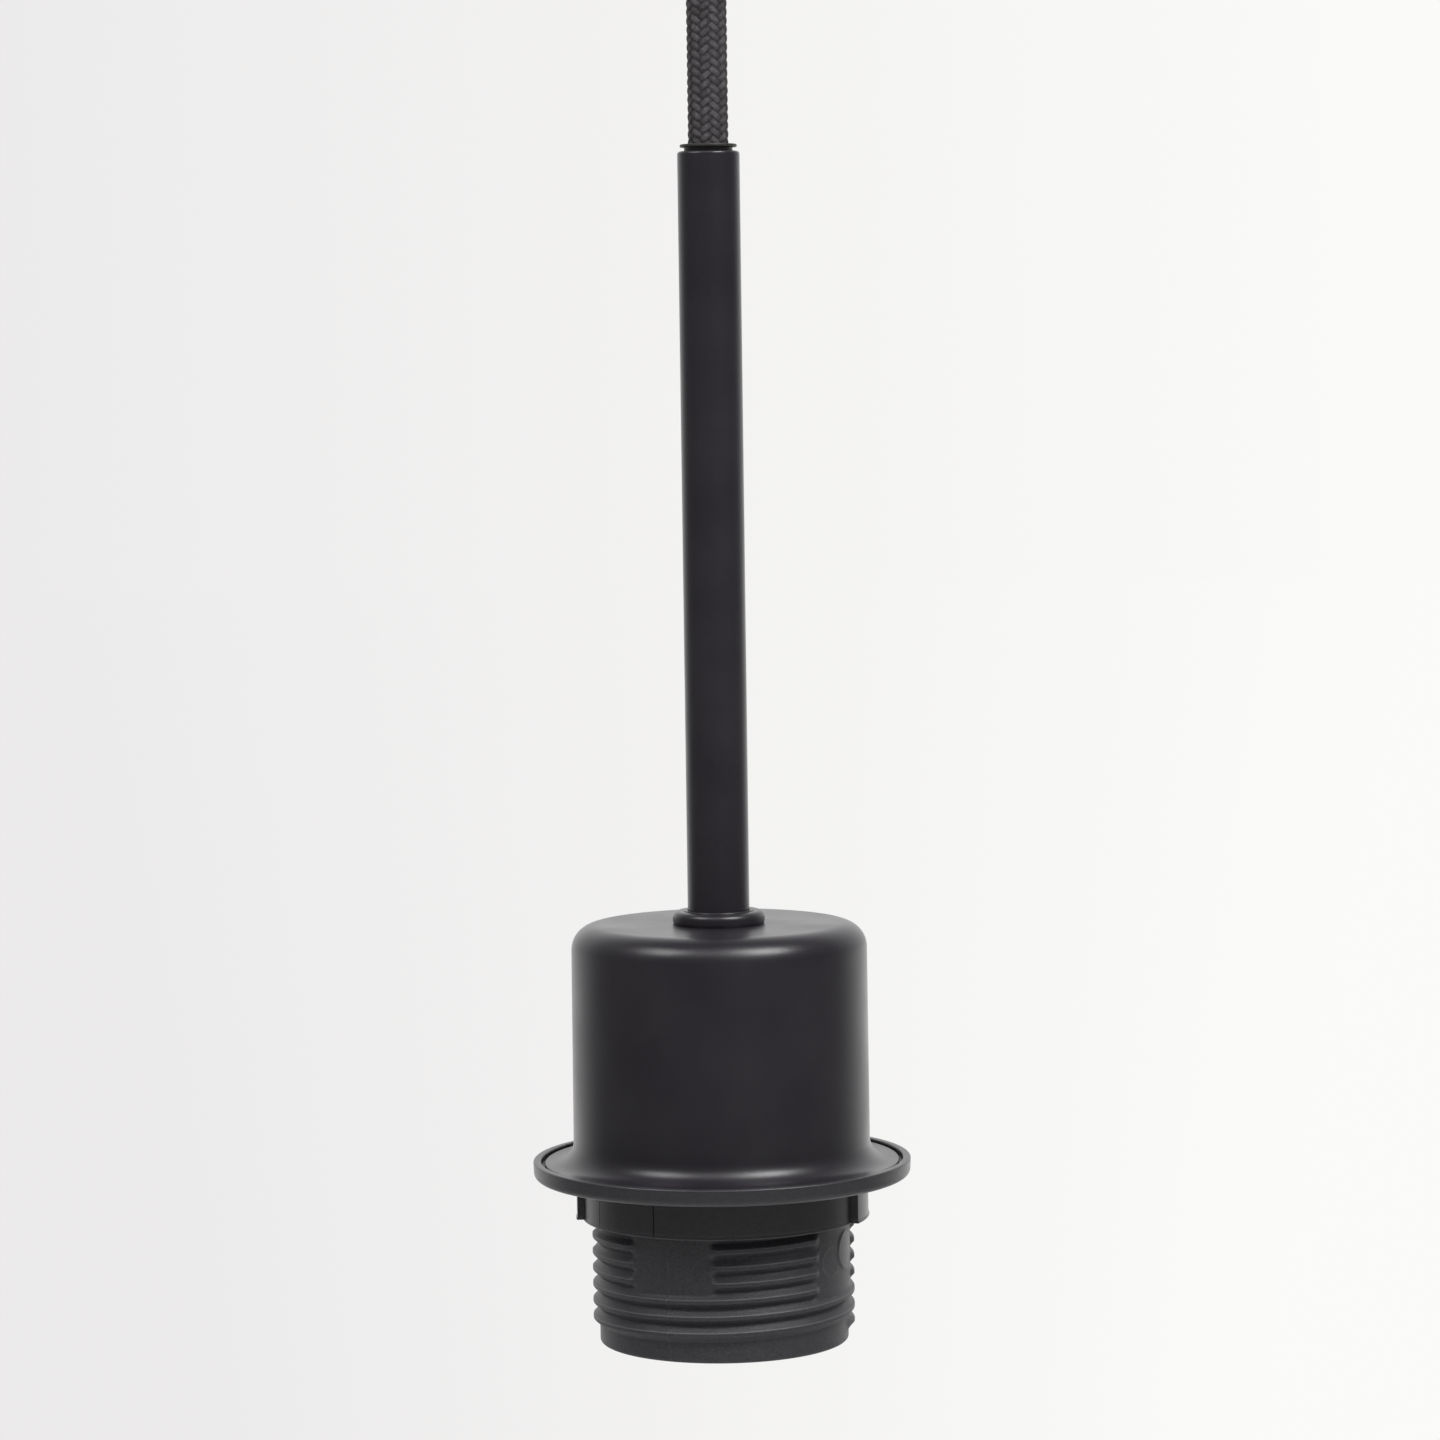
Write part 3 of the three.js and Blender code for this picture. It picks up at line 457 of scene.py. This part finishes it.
def makeBushing():
    # a thin flat flange on a body that fits the tube
    low = stemTop + bushing["gap"]
    top = low + bushing["thick"]
    b, end = bushing, stemTop - bushing["depth"]
    outline = rounded([
        (b["bore"], end, 0), (b["body"], end, 0.1), (b["body"], low, 0.15),
        (b["flange"], low - b["droop"], 0.15), (b["flange"], top, 0.2),
        (b["bore"] + b["lead"], top + b["dome"], 0.2), (b["bore"], top - 0.1, 0.08),
    ], 6)
    return revolved("cordBushing", spread(outline, 0.6), mouthLevel, 160)


collar = {
    "bore": 4.75, "foot": 6.9, "footHeight": 0.4, "bead": 7.0, "low": 64.02, "height": 2.1,
    "shoulder": 0.95, "lip": 5.4, "lipHeight": 0.15,
}


def makeCollar():
    # a bead between a flat foot and a thin upper lip
    c = collar
    low, top = c["low"], c["low"] + c["height"]
    bead = top - c["lipHeight"]
    outline = rounded([
        (c["bore"], low, 0), (c["foot"], low, 0.1), (c["bead"], low + c["footHeight"], 0.25),
        (c["bead"], bead, c["shoulder"]), (c["lip"] + 0.05, bead, 0.05),
        (c["lip"], top, 0.1), (c["bore"], top - 0.05, 0.06),
    ], 9)
    return revolved("stemCollar", spread(outline, 0.4), mouthLevel, 192)


finished(makeStem(), satinPaint, "pendant", "satin_black_paint", "stem_tube")
finished(makeBushing(), plain["blackNylon"], "pendant", "black_nylon", "cord_bushing")
finished(makeCollar(), satinPaint, "pendant", "satin_black_paint", "stem_collar")


# --- drawn cover ---
cover = {
    "topRadius": 22.5, "lowRadius": 22.65, "sheet": 0.7, "low": ringFloor + 0.05, "top": coverTop,
    "topRound": 3.75, "flare": 3.2, "flange": 27.1, "hole": 4.9,
}


def makeCover():
    # one sheet: a flat top, a rounded shoulder, a wall with a slight draft and a flare onto the flange
    c = cover
    s, low, top, narrow, wide = c["sheet"], c["low"], c["top"], c["topRadius"], c["lowRadius"]
    outline = rounded([
        (c["hole"], top, 0.1), (narrow, top, c["topRound"]), (wide, low + s, c["flare"]),
        (c["flange"], low + s, 0.25), (c["flange"], low, 0.2), (wide - s, low, c["flare"] + s),
        (narrow - s, top - s, c["topRound"] - s), (c["hole"], top - s, 0.1),
    ], 14)
    return revolved("drawnCover", spread(outline, 0.7), mouthLevel, 320)


finished(makeCover(), satinPaint, "pendant", "satin_black_paint", "cup_cover")
print("stem and cover made")


# --- threaded skirt ---
skirt = {
    "crest": 20.0, "root": 19.0, "pitch": 2.5, "front": 4.55, "start": -0.79, "lead": 15.0,
    "low": 1.0, "high": 27.6, "panelFoot": 9.7, "panelStart": 46.0, "panelSpan": 39.3, "panelCount": 4,
    "panelRise": 0.4, "panelRamp": 5.0, "shoulder": 28.2, "spigot": 18.6, "height": 34.5,
    "bore": 16.6, "mouth": 14.6, "lip": 2.0,
    "crestHalf": 0.11, "flank": 0.36, "crestEase": 0.03, "flankEase": 0.05,   # in turns and in flanks
    "panelEdge": 0.14, "panelFade": 0.2,                                      # turns past the last crest
    "parting": -25.3, "partingWidth": 0.5, "step": 0.06, "flash": 0.12, "flashWidth": 0.25,
    # strength and widths of the painted highlight lines at the crest corners, the parting flash and the
    # discs' beads
    "glintStrength": 0.38, "glintWidth": 0.024, "faintGlint": 0.12,
    # bearing, height, radius, rise and polish of the two blank discs, and the bead round each
    "marks": [(71.5, 14.7, 2.9, 0.14, 0.4), (56.5, 13.6, 2.2, 0.0, 0.0)],
    "markReach": 19.5, "markEase": 0.2, "beadRise": 0.07, "beadWidth": 0.14,
    # rows within one pitch, in turns, closer together at the corners of the tooth
    "rows": (-0.5, -0.46, -0.32, -0.18, -0.13, -0.11, -0.09, -0.04, 0.03, 0.075, 0.095, 0.11, 0.125, 0.145,
             0.19, 0.32, 0.46),
}


def toothAt(offset):
    # a flat crest, straight flanks and a valley: 1 - max(0, (turns from the crest - half its width) /
    # flank), with the corners of both eased
    away = np.minimum(np.abs(offset), 1 - np.abs(offset))
    fold = 0.5 - np.sqrt((0.5 - away) ** 2 + skirt["crestEase"] ** 2)
    down = (fold - skirt["crestHalf"]) / skirt["flank"]
    return 1 - (down + np.sqrt(down ** 2 + skirt["flankEase"] ** 2)) / 2


def skirtWall(degrees, z):
    # how far round and up the thread a place is: turn = (z - front) / pitch - bearing / 360;
    # each panel takes over above the last crest that passes below panelFoot at its middle;
    # the other results are the polish of the disc and painted highlight lines, lighter along the crest
    # corners, the parting line and the discs' beads
    s = skirt
    turns = (z - s["front"]) / s["pitch"] - degrees / 360
    nearest = np.round(turns)
    fadeIn = smooth(((nearest - s["start"]) * 360 + degrees) / s["lead"])
    fadeOut = smooth((s["high"] - z) / (s["pitch"] / 2))
    tooth = toothAt(turns - nearest) * fadeIn
    period = 360 / s["panelCount"]
    along = np.mod(degrees - s["panelStart"] + period / 2, period) - period / 2
    along = np.where(along < -20, along + period, along)
    inside = np.minimum(along, s["panelSpan"] - along)
    middle = degrees - along + s["panelSpan"] / 2
    fullTurns = np.floor((s["panelFoot"] - s["front"]) / s["pitch"] - middle / 360)
    above = smooth((turns - fullTurns - s["panelEdge"]) / s["panelFade"])
    share = smooth(inside / s["panelRamp"] + 0.5) * above
    rise = (tooth * (1 - share) + s["panelRise"] * share) * fadeOut
    radius = s["root"] + (s["crest"] - s["root"]) * rise
    line = np.mod(degrees - s["parting"] + 180, 360) - 180
    near, opposite = line / s["partingWidth"] + 0.5, (line - 180) / s["partingWidth"] + 0.5
    flash = np.exp(-(line / s["flashWidth"]) ** 2)
    radius = radius + s["step"] * (smooth(near) - smooth(opposite)) + s["flash"] * flash
    # painted highlight: a thin lighter line at the upper corner of each crest, stronger on the parting flash
    corner = np.exp(-((turns - nearest - s["crestHalf"]) / s["glintWidth"]) ** 2) * fadeIn * (1 - share)
    paintedHighlight, polish = np.maximum(s["glintStrength"] * corner * (1 + 2 * flash), s["faintGlint"] * flash), 0
    for bearing, height, size, lift, gloss in s["marks"]:
        apart = np.hypot(np.radians(degrees - bearing) * s["markReach"], z - height)
        disc = smooth((size - apart) / s["markEase"] + 0.5)
        bead = np.exp(-((apart - size) / s["beadWidth"]) ** 2)
        radius = radius + share * (lift * disc + s["beadRise"] * bead)
        polish = np.maximum(polish, share * gloss * disc)
        # painted highlight round the bead of each disc
        paintedHighlight = np.maximum(paintedHighlight, s["faintGlint"] * share * bead)
    return radius, polish, paintedHighlight


def skirtColumns():
    # bearings of the columns: close together where the panels end, at the parting line and over the
    # discs, and wider apart on the far side
    s = skirt
    period = 360 / s["panelCount"]
    sides = [s["panelStart"] + k * period + side for k in range(-2, 2) for side in (0, s["panelSpan"])]
    ramps = np.concatenate([side + np.linspace(-3.2, 3.2, 9) for side in sides])
    parting = s["parting"] + np.linspace(-0.5, 0.5, 11)
    discs = np.arange(51, 80, 0.6)
    front = np.arange(-96, 96, 1.2)
    back = np.concatenate([np.arange(-180, -96, 2.4), np.arange(96, 180, 2.4), [180.0]])
    every = np.unique(np.round(np.concatenate([ramps, parting, discs, front, back]), 3))
    every = every[np.concatenate([[True], np.diff(every) > 0.07])]
    every[-1] = 180.0
    return every


def makeSkirt():
    # the outside wall on rows that climb with the thread, z = front + pitch (row + bearing / 360), held
    # between low and high; the rest is one outline of (r, z) carried round the axis
    s = skirt
    degrees = skirtColumns()
    first = math.floor((s["low"] - s["front"]) / s["pitch"] - 1)
    last = math.ceil((s["high"] - s["front"]) / s["pitch"] + 1)
    k = (np.arange(first, last + 1)[:, None] + np.array(s["rows"])[None]).reshape(-1, 1)
    z = np.clip(s["front"] + s["pitch"] * (k + degrees[None] / 360), s["low"], s["high"])
    radius, polish, paintedHighlight = skirtWall(degrees[None], z)
    wall = turn(radius, z + mouthLevel, degrees[None])
    outline = rounded([
        (s["root"], s["high"], 0), (s["root"], s["shoulder"], 0.1), (s["spigot"], s["shoulder"], 0),
        (s["spigot"], s["height"], 0.3), (s["bore"], s["height"], 0.2), (s["bore"], s["lip"] + 2, 0.8),
        (s["mouth"], s["lip"], 0.4), (s["mouth"], 0, 0.5), (s["root"], 0, 0.45), (s["root"], s["low"], 0),
    ], 5)
    r, level = outline[:, :1], outline[:, 1:]
    relief = skirtWall(degrees[None], level)[0] - s["root"]   # the parting line goes on round the edges
    inset = 0.5
    foot = (r > s["root"] - inset) & (level < s["low"] + 0.01)
    top = (r > s["root"] - 0.2) & (level > s["high"] - 0.01)
    radius = r + np.where(foot | top, relief, 0) * np.clip((r - s["root"] + inset) / inset, 0, 1)
    rest = turn(radius, level + mouthLevel, degrees[None])
    bare = np.zeros(rest[..., 0].size)
    marks = {"polish": np.concatenate([polish.ravel(), bare]), "paintedHighlight": np.concatenate([paintedHighlight.ravel(), bare])}
    return surface("threadedSkirt", [wall, rest], 60, marks)


finished(makeSkirt(), mouldedPlastic, "pendant", "black_plastic", "threaded_skirt")
print("skirt made")


# --- shade ring ---
ring = {
    "bore": 20.3, "collar": 21.3, "seat": 19.05, "floor": 25.35, "recess": ringFloor, "radius": 28.85,
    "rimTop": 28.0, "rimWidth": 1.2, "rimRound": 0.9, "draft": 0.12,
    "lip": 0.14, "lipHeight": 0.2, "lipSlope": 0.25,
    "padRise": 1.0, "padStart": 66.3, "padSpan": 30.7, "padRamp": 0.5,
    # bearing, depth or rise, and half width in degrees of the lines on the collar
    "groove": (-29.0, 0.22, 0.25), "seam": (-61.0, 0.05, 0.2), "notch": (4.7, 0.3, 0.3),
    "step": 0.05, "stepWidth": 0.2,   # the wall is this much prouder from the groove to the notch
    # the first sets the painted highlight lines at the lip and the rim's foot; the others set the polish
    "glintStrength": 0.28, "polish": 0.5, "collarPolish": 0.1,
}


def ringColumns():
    # bearings of the columns: even, and close together at the pads' ends and at the three lines
    ends = [ring["padStart"] + a + b for a in (0, -180) for b in (0, ring["padSpan"])]
    ramps = np.concatenate([e + np.linspace(-0.5, 0.5, 9) for e in ends])
    lines = np.concatenate([ring[key][0] + np.linspace(-0.6, 0.6, 13) for key in ("groove", "seam", "notch")])
    every = np.unique(np.round(np.concatenate([ramps, lines, np.linspace(-180, 180, 241)]), 3))
    return every[np.concatenate([[True], np.diff(every) > 0.06])]


def crease(degrees, line):
    # height exp(-(distance / width)^2) on either side of the line
    bearing, height, width = ring[line]
    return height * np.exp(-((degrees - bearing) / width) ** 2)[None]


def makeRing():
    # the outline of (r, z) is carried round the axis; the collar's wall steps out at two pads, and
    # carries a groove, a fine seam and a notch
    g = ring
    degrees = ringColumns()
    inner = g["radius"] - g["rimWidth"]
    lipRadius, lipTop = g["collar"] + g["lip"], g["seat"] + g["lipHeight"]
    outline = spread(rounded([
        (g["bore"], g["seat"], 0.25), (lipRadius, g["seat"], 0.12),
        (lipRadius, lipTop, 0.06), (g["collar"], lipTop + g["lipSlope"], 0.2),
        (g["collar"], g["floor"], 0.15),
        (g["radius"] - g["draft"], g["floor"], g["rimRound"]), (g["radius"], g["rimTop"], 0.28),
        (inner, g["rimTop"], 0.25), (inner, g["recess"], 0.15), (g["bore"], g["recess"], 0.2),
    ], 6), 0.45)
    loop = np.vstack([outline, outline[:1]])
    r, z = loop[:, :1], loop[:, 1:]
    wide = np.where(z < g["seat"] + 1, g["lip"], 0) + 0.01
    onCollar = smooth((r - g["collar"] + 0.45) / 0.3) * (r < g["collar"] + wide) * (z < g["floor"] + 0.01)
    along = np.mod(degrees - g["padStart"] + 90, 180) - 90
    pads = smooth(np.minimum(along, g["padSpan"] - along) / g["padRamp"] + 0.5)[None]
    groove, seam = crease(degrees, "groove"), crease(degrees, "seam")
    past, short = (degrees - g["groove"][0]) / g["stepWidth"], (g["notch"][0] - degrees) / g["stepWidth"]
    step = g["step"] * (smooth(past) * smooth(short))[None]
    radius = r + onCollar * (g["padRise"] * pads - groove + seam + step)
    nick = crease(degrees, "notch") * onCollar * (z < g["seat"] + 0.8)
    # painted highlights: lighter lines at the lip's upper corner and at the rim's lower edge
    lip = np.exp(-(((r - lipRadius) / 0.2) ** 2 + ((z - g["seat"] - 0.3) / 0.25) ** 2))
    foot = np.exp(-(((r - g["radius"] + 0.45) / 0.2) ** 2 + ((z - g["floor"] - 0.12) / 0.2) ** 2))
    marks = {
        "paintedHighlight": g["glintStrength"] * np.maximum(lip, foot) + 0 * degrees[None],
        "polish": g["polish"] + g["collarPolish"] * onCollar + 0 * radius,
    }
    return surface("shadeRing", [turn(radius, z + nick + mouthLevel, degrees[None])], 34, marks)


finished(makeRing(), mouldedPlastic, "ring", "black_plastic", "shade_ring")
print("ring made")


# --- lamp thread shell, seen from below ---
shell = {
    "minor": 12.3, "depth": 1.1, "pitch": 3.62, "sheet": 0.4, "low": 15.0, "high": 34.1, "flange": 15.9,
    "rows": 16,   # for each pitch
}


def makeShell():
    # the round thread: r = minor + depth / 2 (1 - cos(2 pi turn)), rolled into both faces of the sheet
    s = shell
    degrees = np.linspace(-180, 180, 181)[None]
    k = np.arange(-2 * s["rows"], 8 * s["rows"] + 1)[:, None] / s["rows"]
    z = np.clip(s["low"] + s["pitch"] * (k + degrees / 360), s["low"], s["high"])
    middle, reach = (s["low"] + s["high"]) / 2, (s["high"] - s["low"]) / 2
    fade = smooth((reach - np.abs(z - middle)) / (s["pitch"] / 2))
    turns = (z - s["low"]) / s["pitch"] - degrees / 360
    inner = s["minor"] + s["depth"] / 2 * (1 - fade * np.cos(2 * np.pi * turns))
    end = s["minor"] + s["depth"] / 2
    edge = np.array([
        [end + s["sheet"], s["high"]], [s["flange"], s["high"]], [s["flange"], s["high"] + s["sheet"]],
        [end, s["high"] + s["sheet"]], [end, s["high"]],
    ])
    foot = np.array([[end, s["low"]], [end + s["sheet"] / 2, s["low"] - 0.15], [end + s["sheet"], s["low"]]])
    parts = [
        (inner + s["sheet"], z), (inner[::-1], z[::-1]),
        (edge[:, :1], edge[:, 1:]), (foot[:, :1], foot[:, 1:]),
    ]
    return surface("screwShell", [turn(r, level + mouthLevel, degrees) for r, level in parts])


finished(makeShell(), plain["nickelMetal"], "pendant", "nickel", "screw_shell")
print("lamp thread made")


# --- ceiling cup and cord grip ---
canopy = {"radius": 40.0, "depth": 38.0, "round": 7.0, "sheet": 0.8, "hole": 5.2}


def makeCanopy():
    # one sheet: a flat bottom, a rounded corner and a plain wall up to the ceiling
    c = canopy
    low, floor, inner = -c["depth"], c["sheet"] - c["depth"], c["radius"] - c["sheet"]
    outline = rounded([
        (c["hole"], low, 0.1), (c["radius"], low, c["round"]), (c["radius"], 0, 0.25),
        (inner, 0, 0.25), (inner, floor, c["round"] - c["sheet"]), (c["hole"], floor, 0.1),
    ], 14)
    return revolved("ceilingCup", spread(outline, 1.2), 0, 256)


grip = {
    "bore": 3.3, "flange": 8.0, "flangeHeight": 2.4, "barrel": 6.2, "drop": 15.0, "gap": 0.05,
    "shank": 5.0, "shankTop": 11.0, "ridge": 0.28, "ridgeStep": 0.5,
}


def makeGrip():
    # a flange and a barrel below the cup, and a threaded shank through it
    g = grip
    level = -canopy["depth"] - g["gap"]
    heights = np.arange(1, g["shankTop"] - 0.6, g["ridgeStep"])
    ridges = np.stack([g["shank"] - g["ridge"] * (np.arange(len(heights)) % 2), heights], 1)
    body = rounded([
        (g["bore"], -g["drop"], 0.3), (g["barrel"], -g["drop"], 0.9), (g["barrel"], -g["flangeHeight"], 0.3),
        (g["flange"], -g["flangeHeight"], 0.7), (g["flange"], 0, 0.2), (g["shank"], 0, 0),
    ], 8)
    top = np.array([[g["shank"] - 0.3, g["shankTop"]], [g["bore"], g["shankTop"]]])
    return revolved("cordGrip", spread(np.concatenate([body, ridges, top]), 0.8), level, 160)


cross = {"halfWidth": 0.32, "wallEase": 0.12, "reach": 0.62, "endEase": 0.2, "dome": 0.72}


def crossArm(across, along, radius):
    # 1 inside one arm of the cross and 0 outside it, eased at its walls and ends
    return smooth((cross["halfWidth"] - np.abs(across)) / cross["wallEase"]) * smooth(
        (cross["reach"] * radius - np.abs(along)) / cross["endEase"])


def screwHead(name, radius, height, depth, place, direction):
    # a domed head, z = height sqrt(1 - dome r^2), lowered where either arm of the cross passes
    r = np.linspace(0, 1, 15)[:, None]
    t = np.linspace(0, 2 * np.pi, 65)[None]
    x, y = radius * r * np.cos(t), radius * r * np.sin(t)
    arm = np.maximum(crossArm(x, y, radius), crossArm(y, x, radius))
    z = height * np.sqrt(1 - cross["dome"] * r ** 2) + 0 * t - depth * arm
    under = np.stack([x, y, 0 * z], -1)
    side = np.stack([np.stack([x[-1], y[-1], z[-1]], -1), np.stack([x[-1], y[-1], 0 * z[-1]], -1)])
    local = [np.stack([x, y, z], -1), side, under]
    u = np.array(direction, float)
    v = np.array([0, 0, 1.0]) if abs(u[2]) < 0.5 else np.array([1.0, 0, 0])
    w = np.cross(u, v)
    basis = np.stack([v, w, u])
    return surface(name, [(g @ basis + np.array(place)) * mm for g in local], 30)


finished(makeCanopy(), satinPaint, "pendant", "satin_black_paint", "canopy_cup")
finished(makeGrip(), mouldedPlastic, "pendant", "black_plastic", "cord_grip")
# name, node, radius, height, depth of the cross, place in mm and direction of each screw's head
cupScrews = [
    ("cupScrewRight", "canopy_screw_right", 3.3, 1.45, 0.7, (40.05, 0, -8), (1, 0, 0)),
    ("cupScrewLeft", "canopy_screw_left", 3.3, 1.45, 0.7, (-40.05, 0, -8), (-1, 0, 0)),
]
for name, node, *sizes in cupScrews:
    finished(screwHead(name, *sizes), satinPaint, "pendant", "satin_black_paint", node)
gripScrew = screwHead("gripScrew", 1.5, 0.9, 0.4, (0, -6.7, -47.05), (0, -1, 0))
finished(gripScrew, mouldedPlastic, "pendant", "black_plastic", "grip_screw")
print("ceiling fitting made")

nodeFinish = [
    (plain["zincSteel"], "ceiling_bracket", "terminal_block_screw", "grip_nut"),
    (plain["zincSteel"], "lock_nut", "stem_lock_screw"),
    (plain["brassMetal"], "ceiling_terminal_screw_live", "ceiling_terminal_screw_neutral"),
    (plain["brassMetal"], "terminal_live", "terminal_neutral", "centre_contact", "contact_rivet"),
    (plain["nickelMetal"], "terminal_screw_live", "terminal_screw_neutral"),
    (plain["whiteInsulator"], "terminal_block", "contact_base"),
    (plain["brownCore"], "ceiling_wire_live", "holder_wire_live"),
    (plain["blueCore"], "ceiling_wire_neutral", "holder_wire_neutral"),
    (plain["blackNylon"], "canopy_cord", "stem_cord"),
    (mouldedPlastic, "holder_cap"),
]
for material, *names in nodeFinish:
    for name in names:
        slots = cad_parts[name].data.materials
        slots.clear()
        slots.append(material)
print("carried-over nodes finished")


# --- floor, backdrop colour and lights, in metres ---
stage = {
    "floorLevel": -0.62, "floorRadius": 9.0, "floorColour": (0.8, 0.8, 0.8),
    "nearest": 0.55, "farthest": 1.15,   # from the middle of the floor, where the lit part fades out
    "paleLeft": (0.838, 0.825, 0.828), "paleRight": (0.962, 0.962, 0.948), "reach": 0.16,
    "dimFront": 0.27, "brightBack": 1.55, "depthRange": (0.3, 0.9), "fill": 0.35,
}


def backdrop(nodes, links, vector):
    # by direction: the pale colour, a little darker towards the left, and the strength that gloss
    # sees, bright behind the object and dim in front of it
    unit = nodes.new("ShaderNodeVectorMath")
    unit.operation = "NORMALIZE"
    links.new(vector, unit.inputs[0])
    axes = nodes.new("ShaderNodeSeparateXYZ")
    links.new(unit.outputs["Vector"], axes.inputs["Vector"])
    share = between(nodes, links, axes.outputs["X"], 0, 1, -stage["reach"], stage["reach"])
    pale = blended(nodes, links, share, stage["paleLeft"], stage["paleRight"])
    strength = between(
        nodes, links, axes.outputs["Y"], stage["dimFront"], stage["brightBack"], *stage["depthRange"])
    return pale, strength


def makeFloor():
    # a flat disc; near the object it is lit and keeps the shadow, and further out it takes the pale colour
    t = np.linspace(0, 360, 97)[None]
    r = np.linspace(0, 1, 13)[:, None] ** 2 * stage["floorRadius"] / mm
    item = surface("floor", [turn(r, stage["floorLevel"] / mm + 0 * r, t)])
    material, nodes, links, shader, place = newMaterial("paleFloor", stage["floorColour"], 0.9)
    away = nodes.new("ShaderNodeVectorMath")
    away.operation = "LENGTH"
    links.new(place, away.inputs[0])
    drop = -stage["floorLevel"]
    nearest, farthest = math.hypot(stage["nearest"], drop), math.hypot(stage["farthest"], drop)
    far = between(nodes, links, away.outputs["Value"], 0, 1, nearest, farthest)
    path = nodes.new("ShaderNodeLightPath").outputs
    direct = maths(nodes, links, "MAXIMUM", path["Is Camera Ray"], path["Is Transmission Ray"])
    seen = maths(nodes, links, "MAXIMUM", direct, path["Is Glossy Ray"])
    glow = nodes.new("ShaderNodeEmission")
    pale, gloss = backdrop(nodes, links, place)
    links.new(pale, glow.inputs["Color"])
    strength = nodes.new("ShaderNodeMix")   # 1 where it is seen directly
    strength.inputs["A"].default_value = 1.0
    links.new(path["Is Glossy Ray"], strength.inputs["Factor"])
    links.new(gloss, strength.inputs["B"])
    links.new(strength.outputs["Result"], glow.inputs["Strength"])
    mix = nodes.new("ShaderNodeMixShader")
    links.new(maths(nodes, links, "MULTIPLY", seen, far), mix.inputs["Fac"])
    links.new(shader.outputs["BSDF"], mix.inputs[1])
    links.new(glow.outputs["Emission"], mix.inputs[2])
    links.new(mix.outputs["Shader"], nodes["Material Output"].inputs["Surface"])
    item.data.materials.append(material)


def makeWorld():
    # seen directly the world is pale; gloss sees it bright behind the object and dim in front of it
    world = bpy.data.worlds.new("studio")
    bpy.context.scene.world = world
    world.use_nodes = True
    nodes, links = world.node_tree.nodes, world.node_tree.links
    nodes.clear()
    direction = nodes.new("ShaderNodeTexCoord").outputs["Generated"]
    colour, depth = backdrop(nodes, links, direction)
    path = nodes.new("ShaderNodeLightPath").outputs
    pale, gloss, soft = [nodes.new("ShaderNodeBackground") for _ in range(3)]
    links.new(colour, pale.inputs["Color"])
    links.new(depth, gloss.inputs["Strength"])
    soft.inputs["Strength"].default_value = stage["fill"]
    first, second = nodes.new("ShaderNodeMixShader"), nodes.new("ShaderNodeMixShader")
    links.new(path["Is Glossy Ray"], first.inputs["Fac"])
    links.new(soft.outputs["Background"], first.inputs[1])
    links.new(gloss.outputs["Background"], first.inputs[2])
    direct = maths(nodes, links, "MAXIMUM", path["Is Camera Ray"], path["Is Transmission Ray"])
    links.new(direct, second.inputs["Fac"])
    links.new(first.outputs["Shader"], second.inputs[1])
    links.new(pale.outputs["Background"], second.inputs[2])
    out = nodes.new("ShaderNodeOutputWorld")
    links.new(second.outputs["Shader"], out.inputs["Surface"])


lights = {
    "highLeft": {"place": (-0.636, -0.405, 0.618), "size": (0.5, 0.42), "power": 5.2},
    "highRight": {"place": (0.514, -0.508, 0.643), "size": (0.5, 0.42), "power": 11.2},
    "between": {"place": (-0.06, -0.68, 0.65), "size": (0.7, 0.5), "power": 1.4},
}
lightTarget = (0, 0, -0.25)


def makeLights():
    # soft rectangles that face the holder and aren't seen themselves
    for name, facts in lights.items():
        data = bpy.data.lights.new(name, "AREA")
        data.shape = "RECTANGLE"
        data.size, data.size_y = facts["size"]
        data.energy = facts["power"]
        item = bpy.data.objects.new(name, data)
        bpy.context.collection.objects.link(item)
        item.location = facts["place"]
        aim = Vector(lightTarget) - item.location
        item.rotation_euler = aim.to_track_quat("-Z", "Y").to_euler()
        item.visible_camera = False


makeFloor()
makeWorld()
makeLights()
bpy.context.scene.view_settings.view_transform = "Standard"
print("floor and lights made")
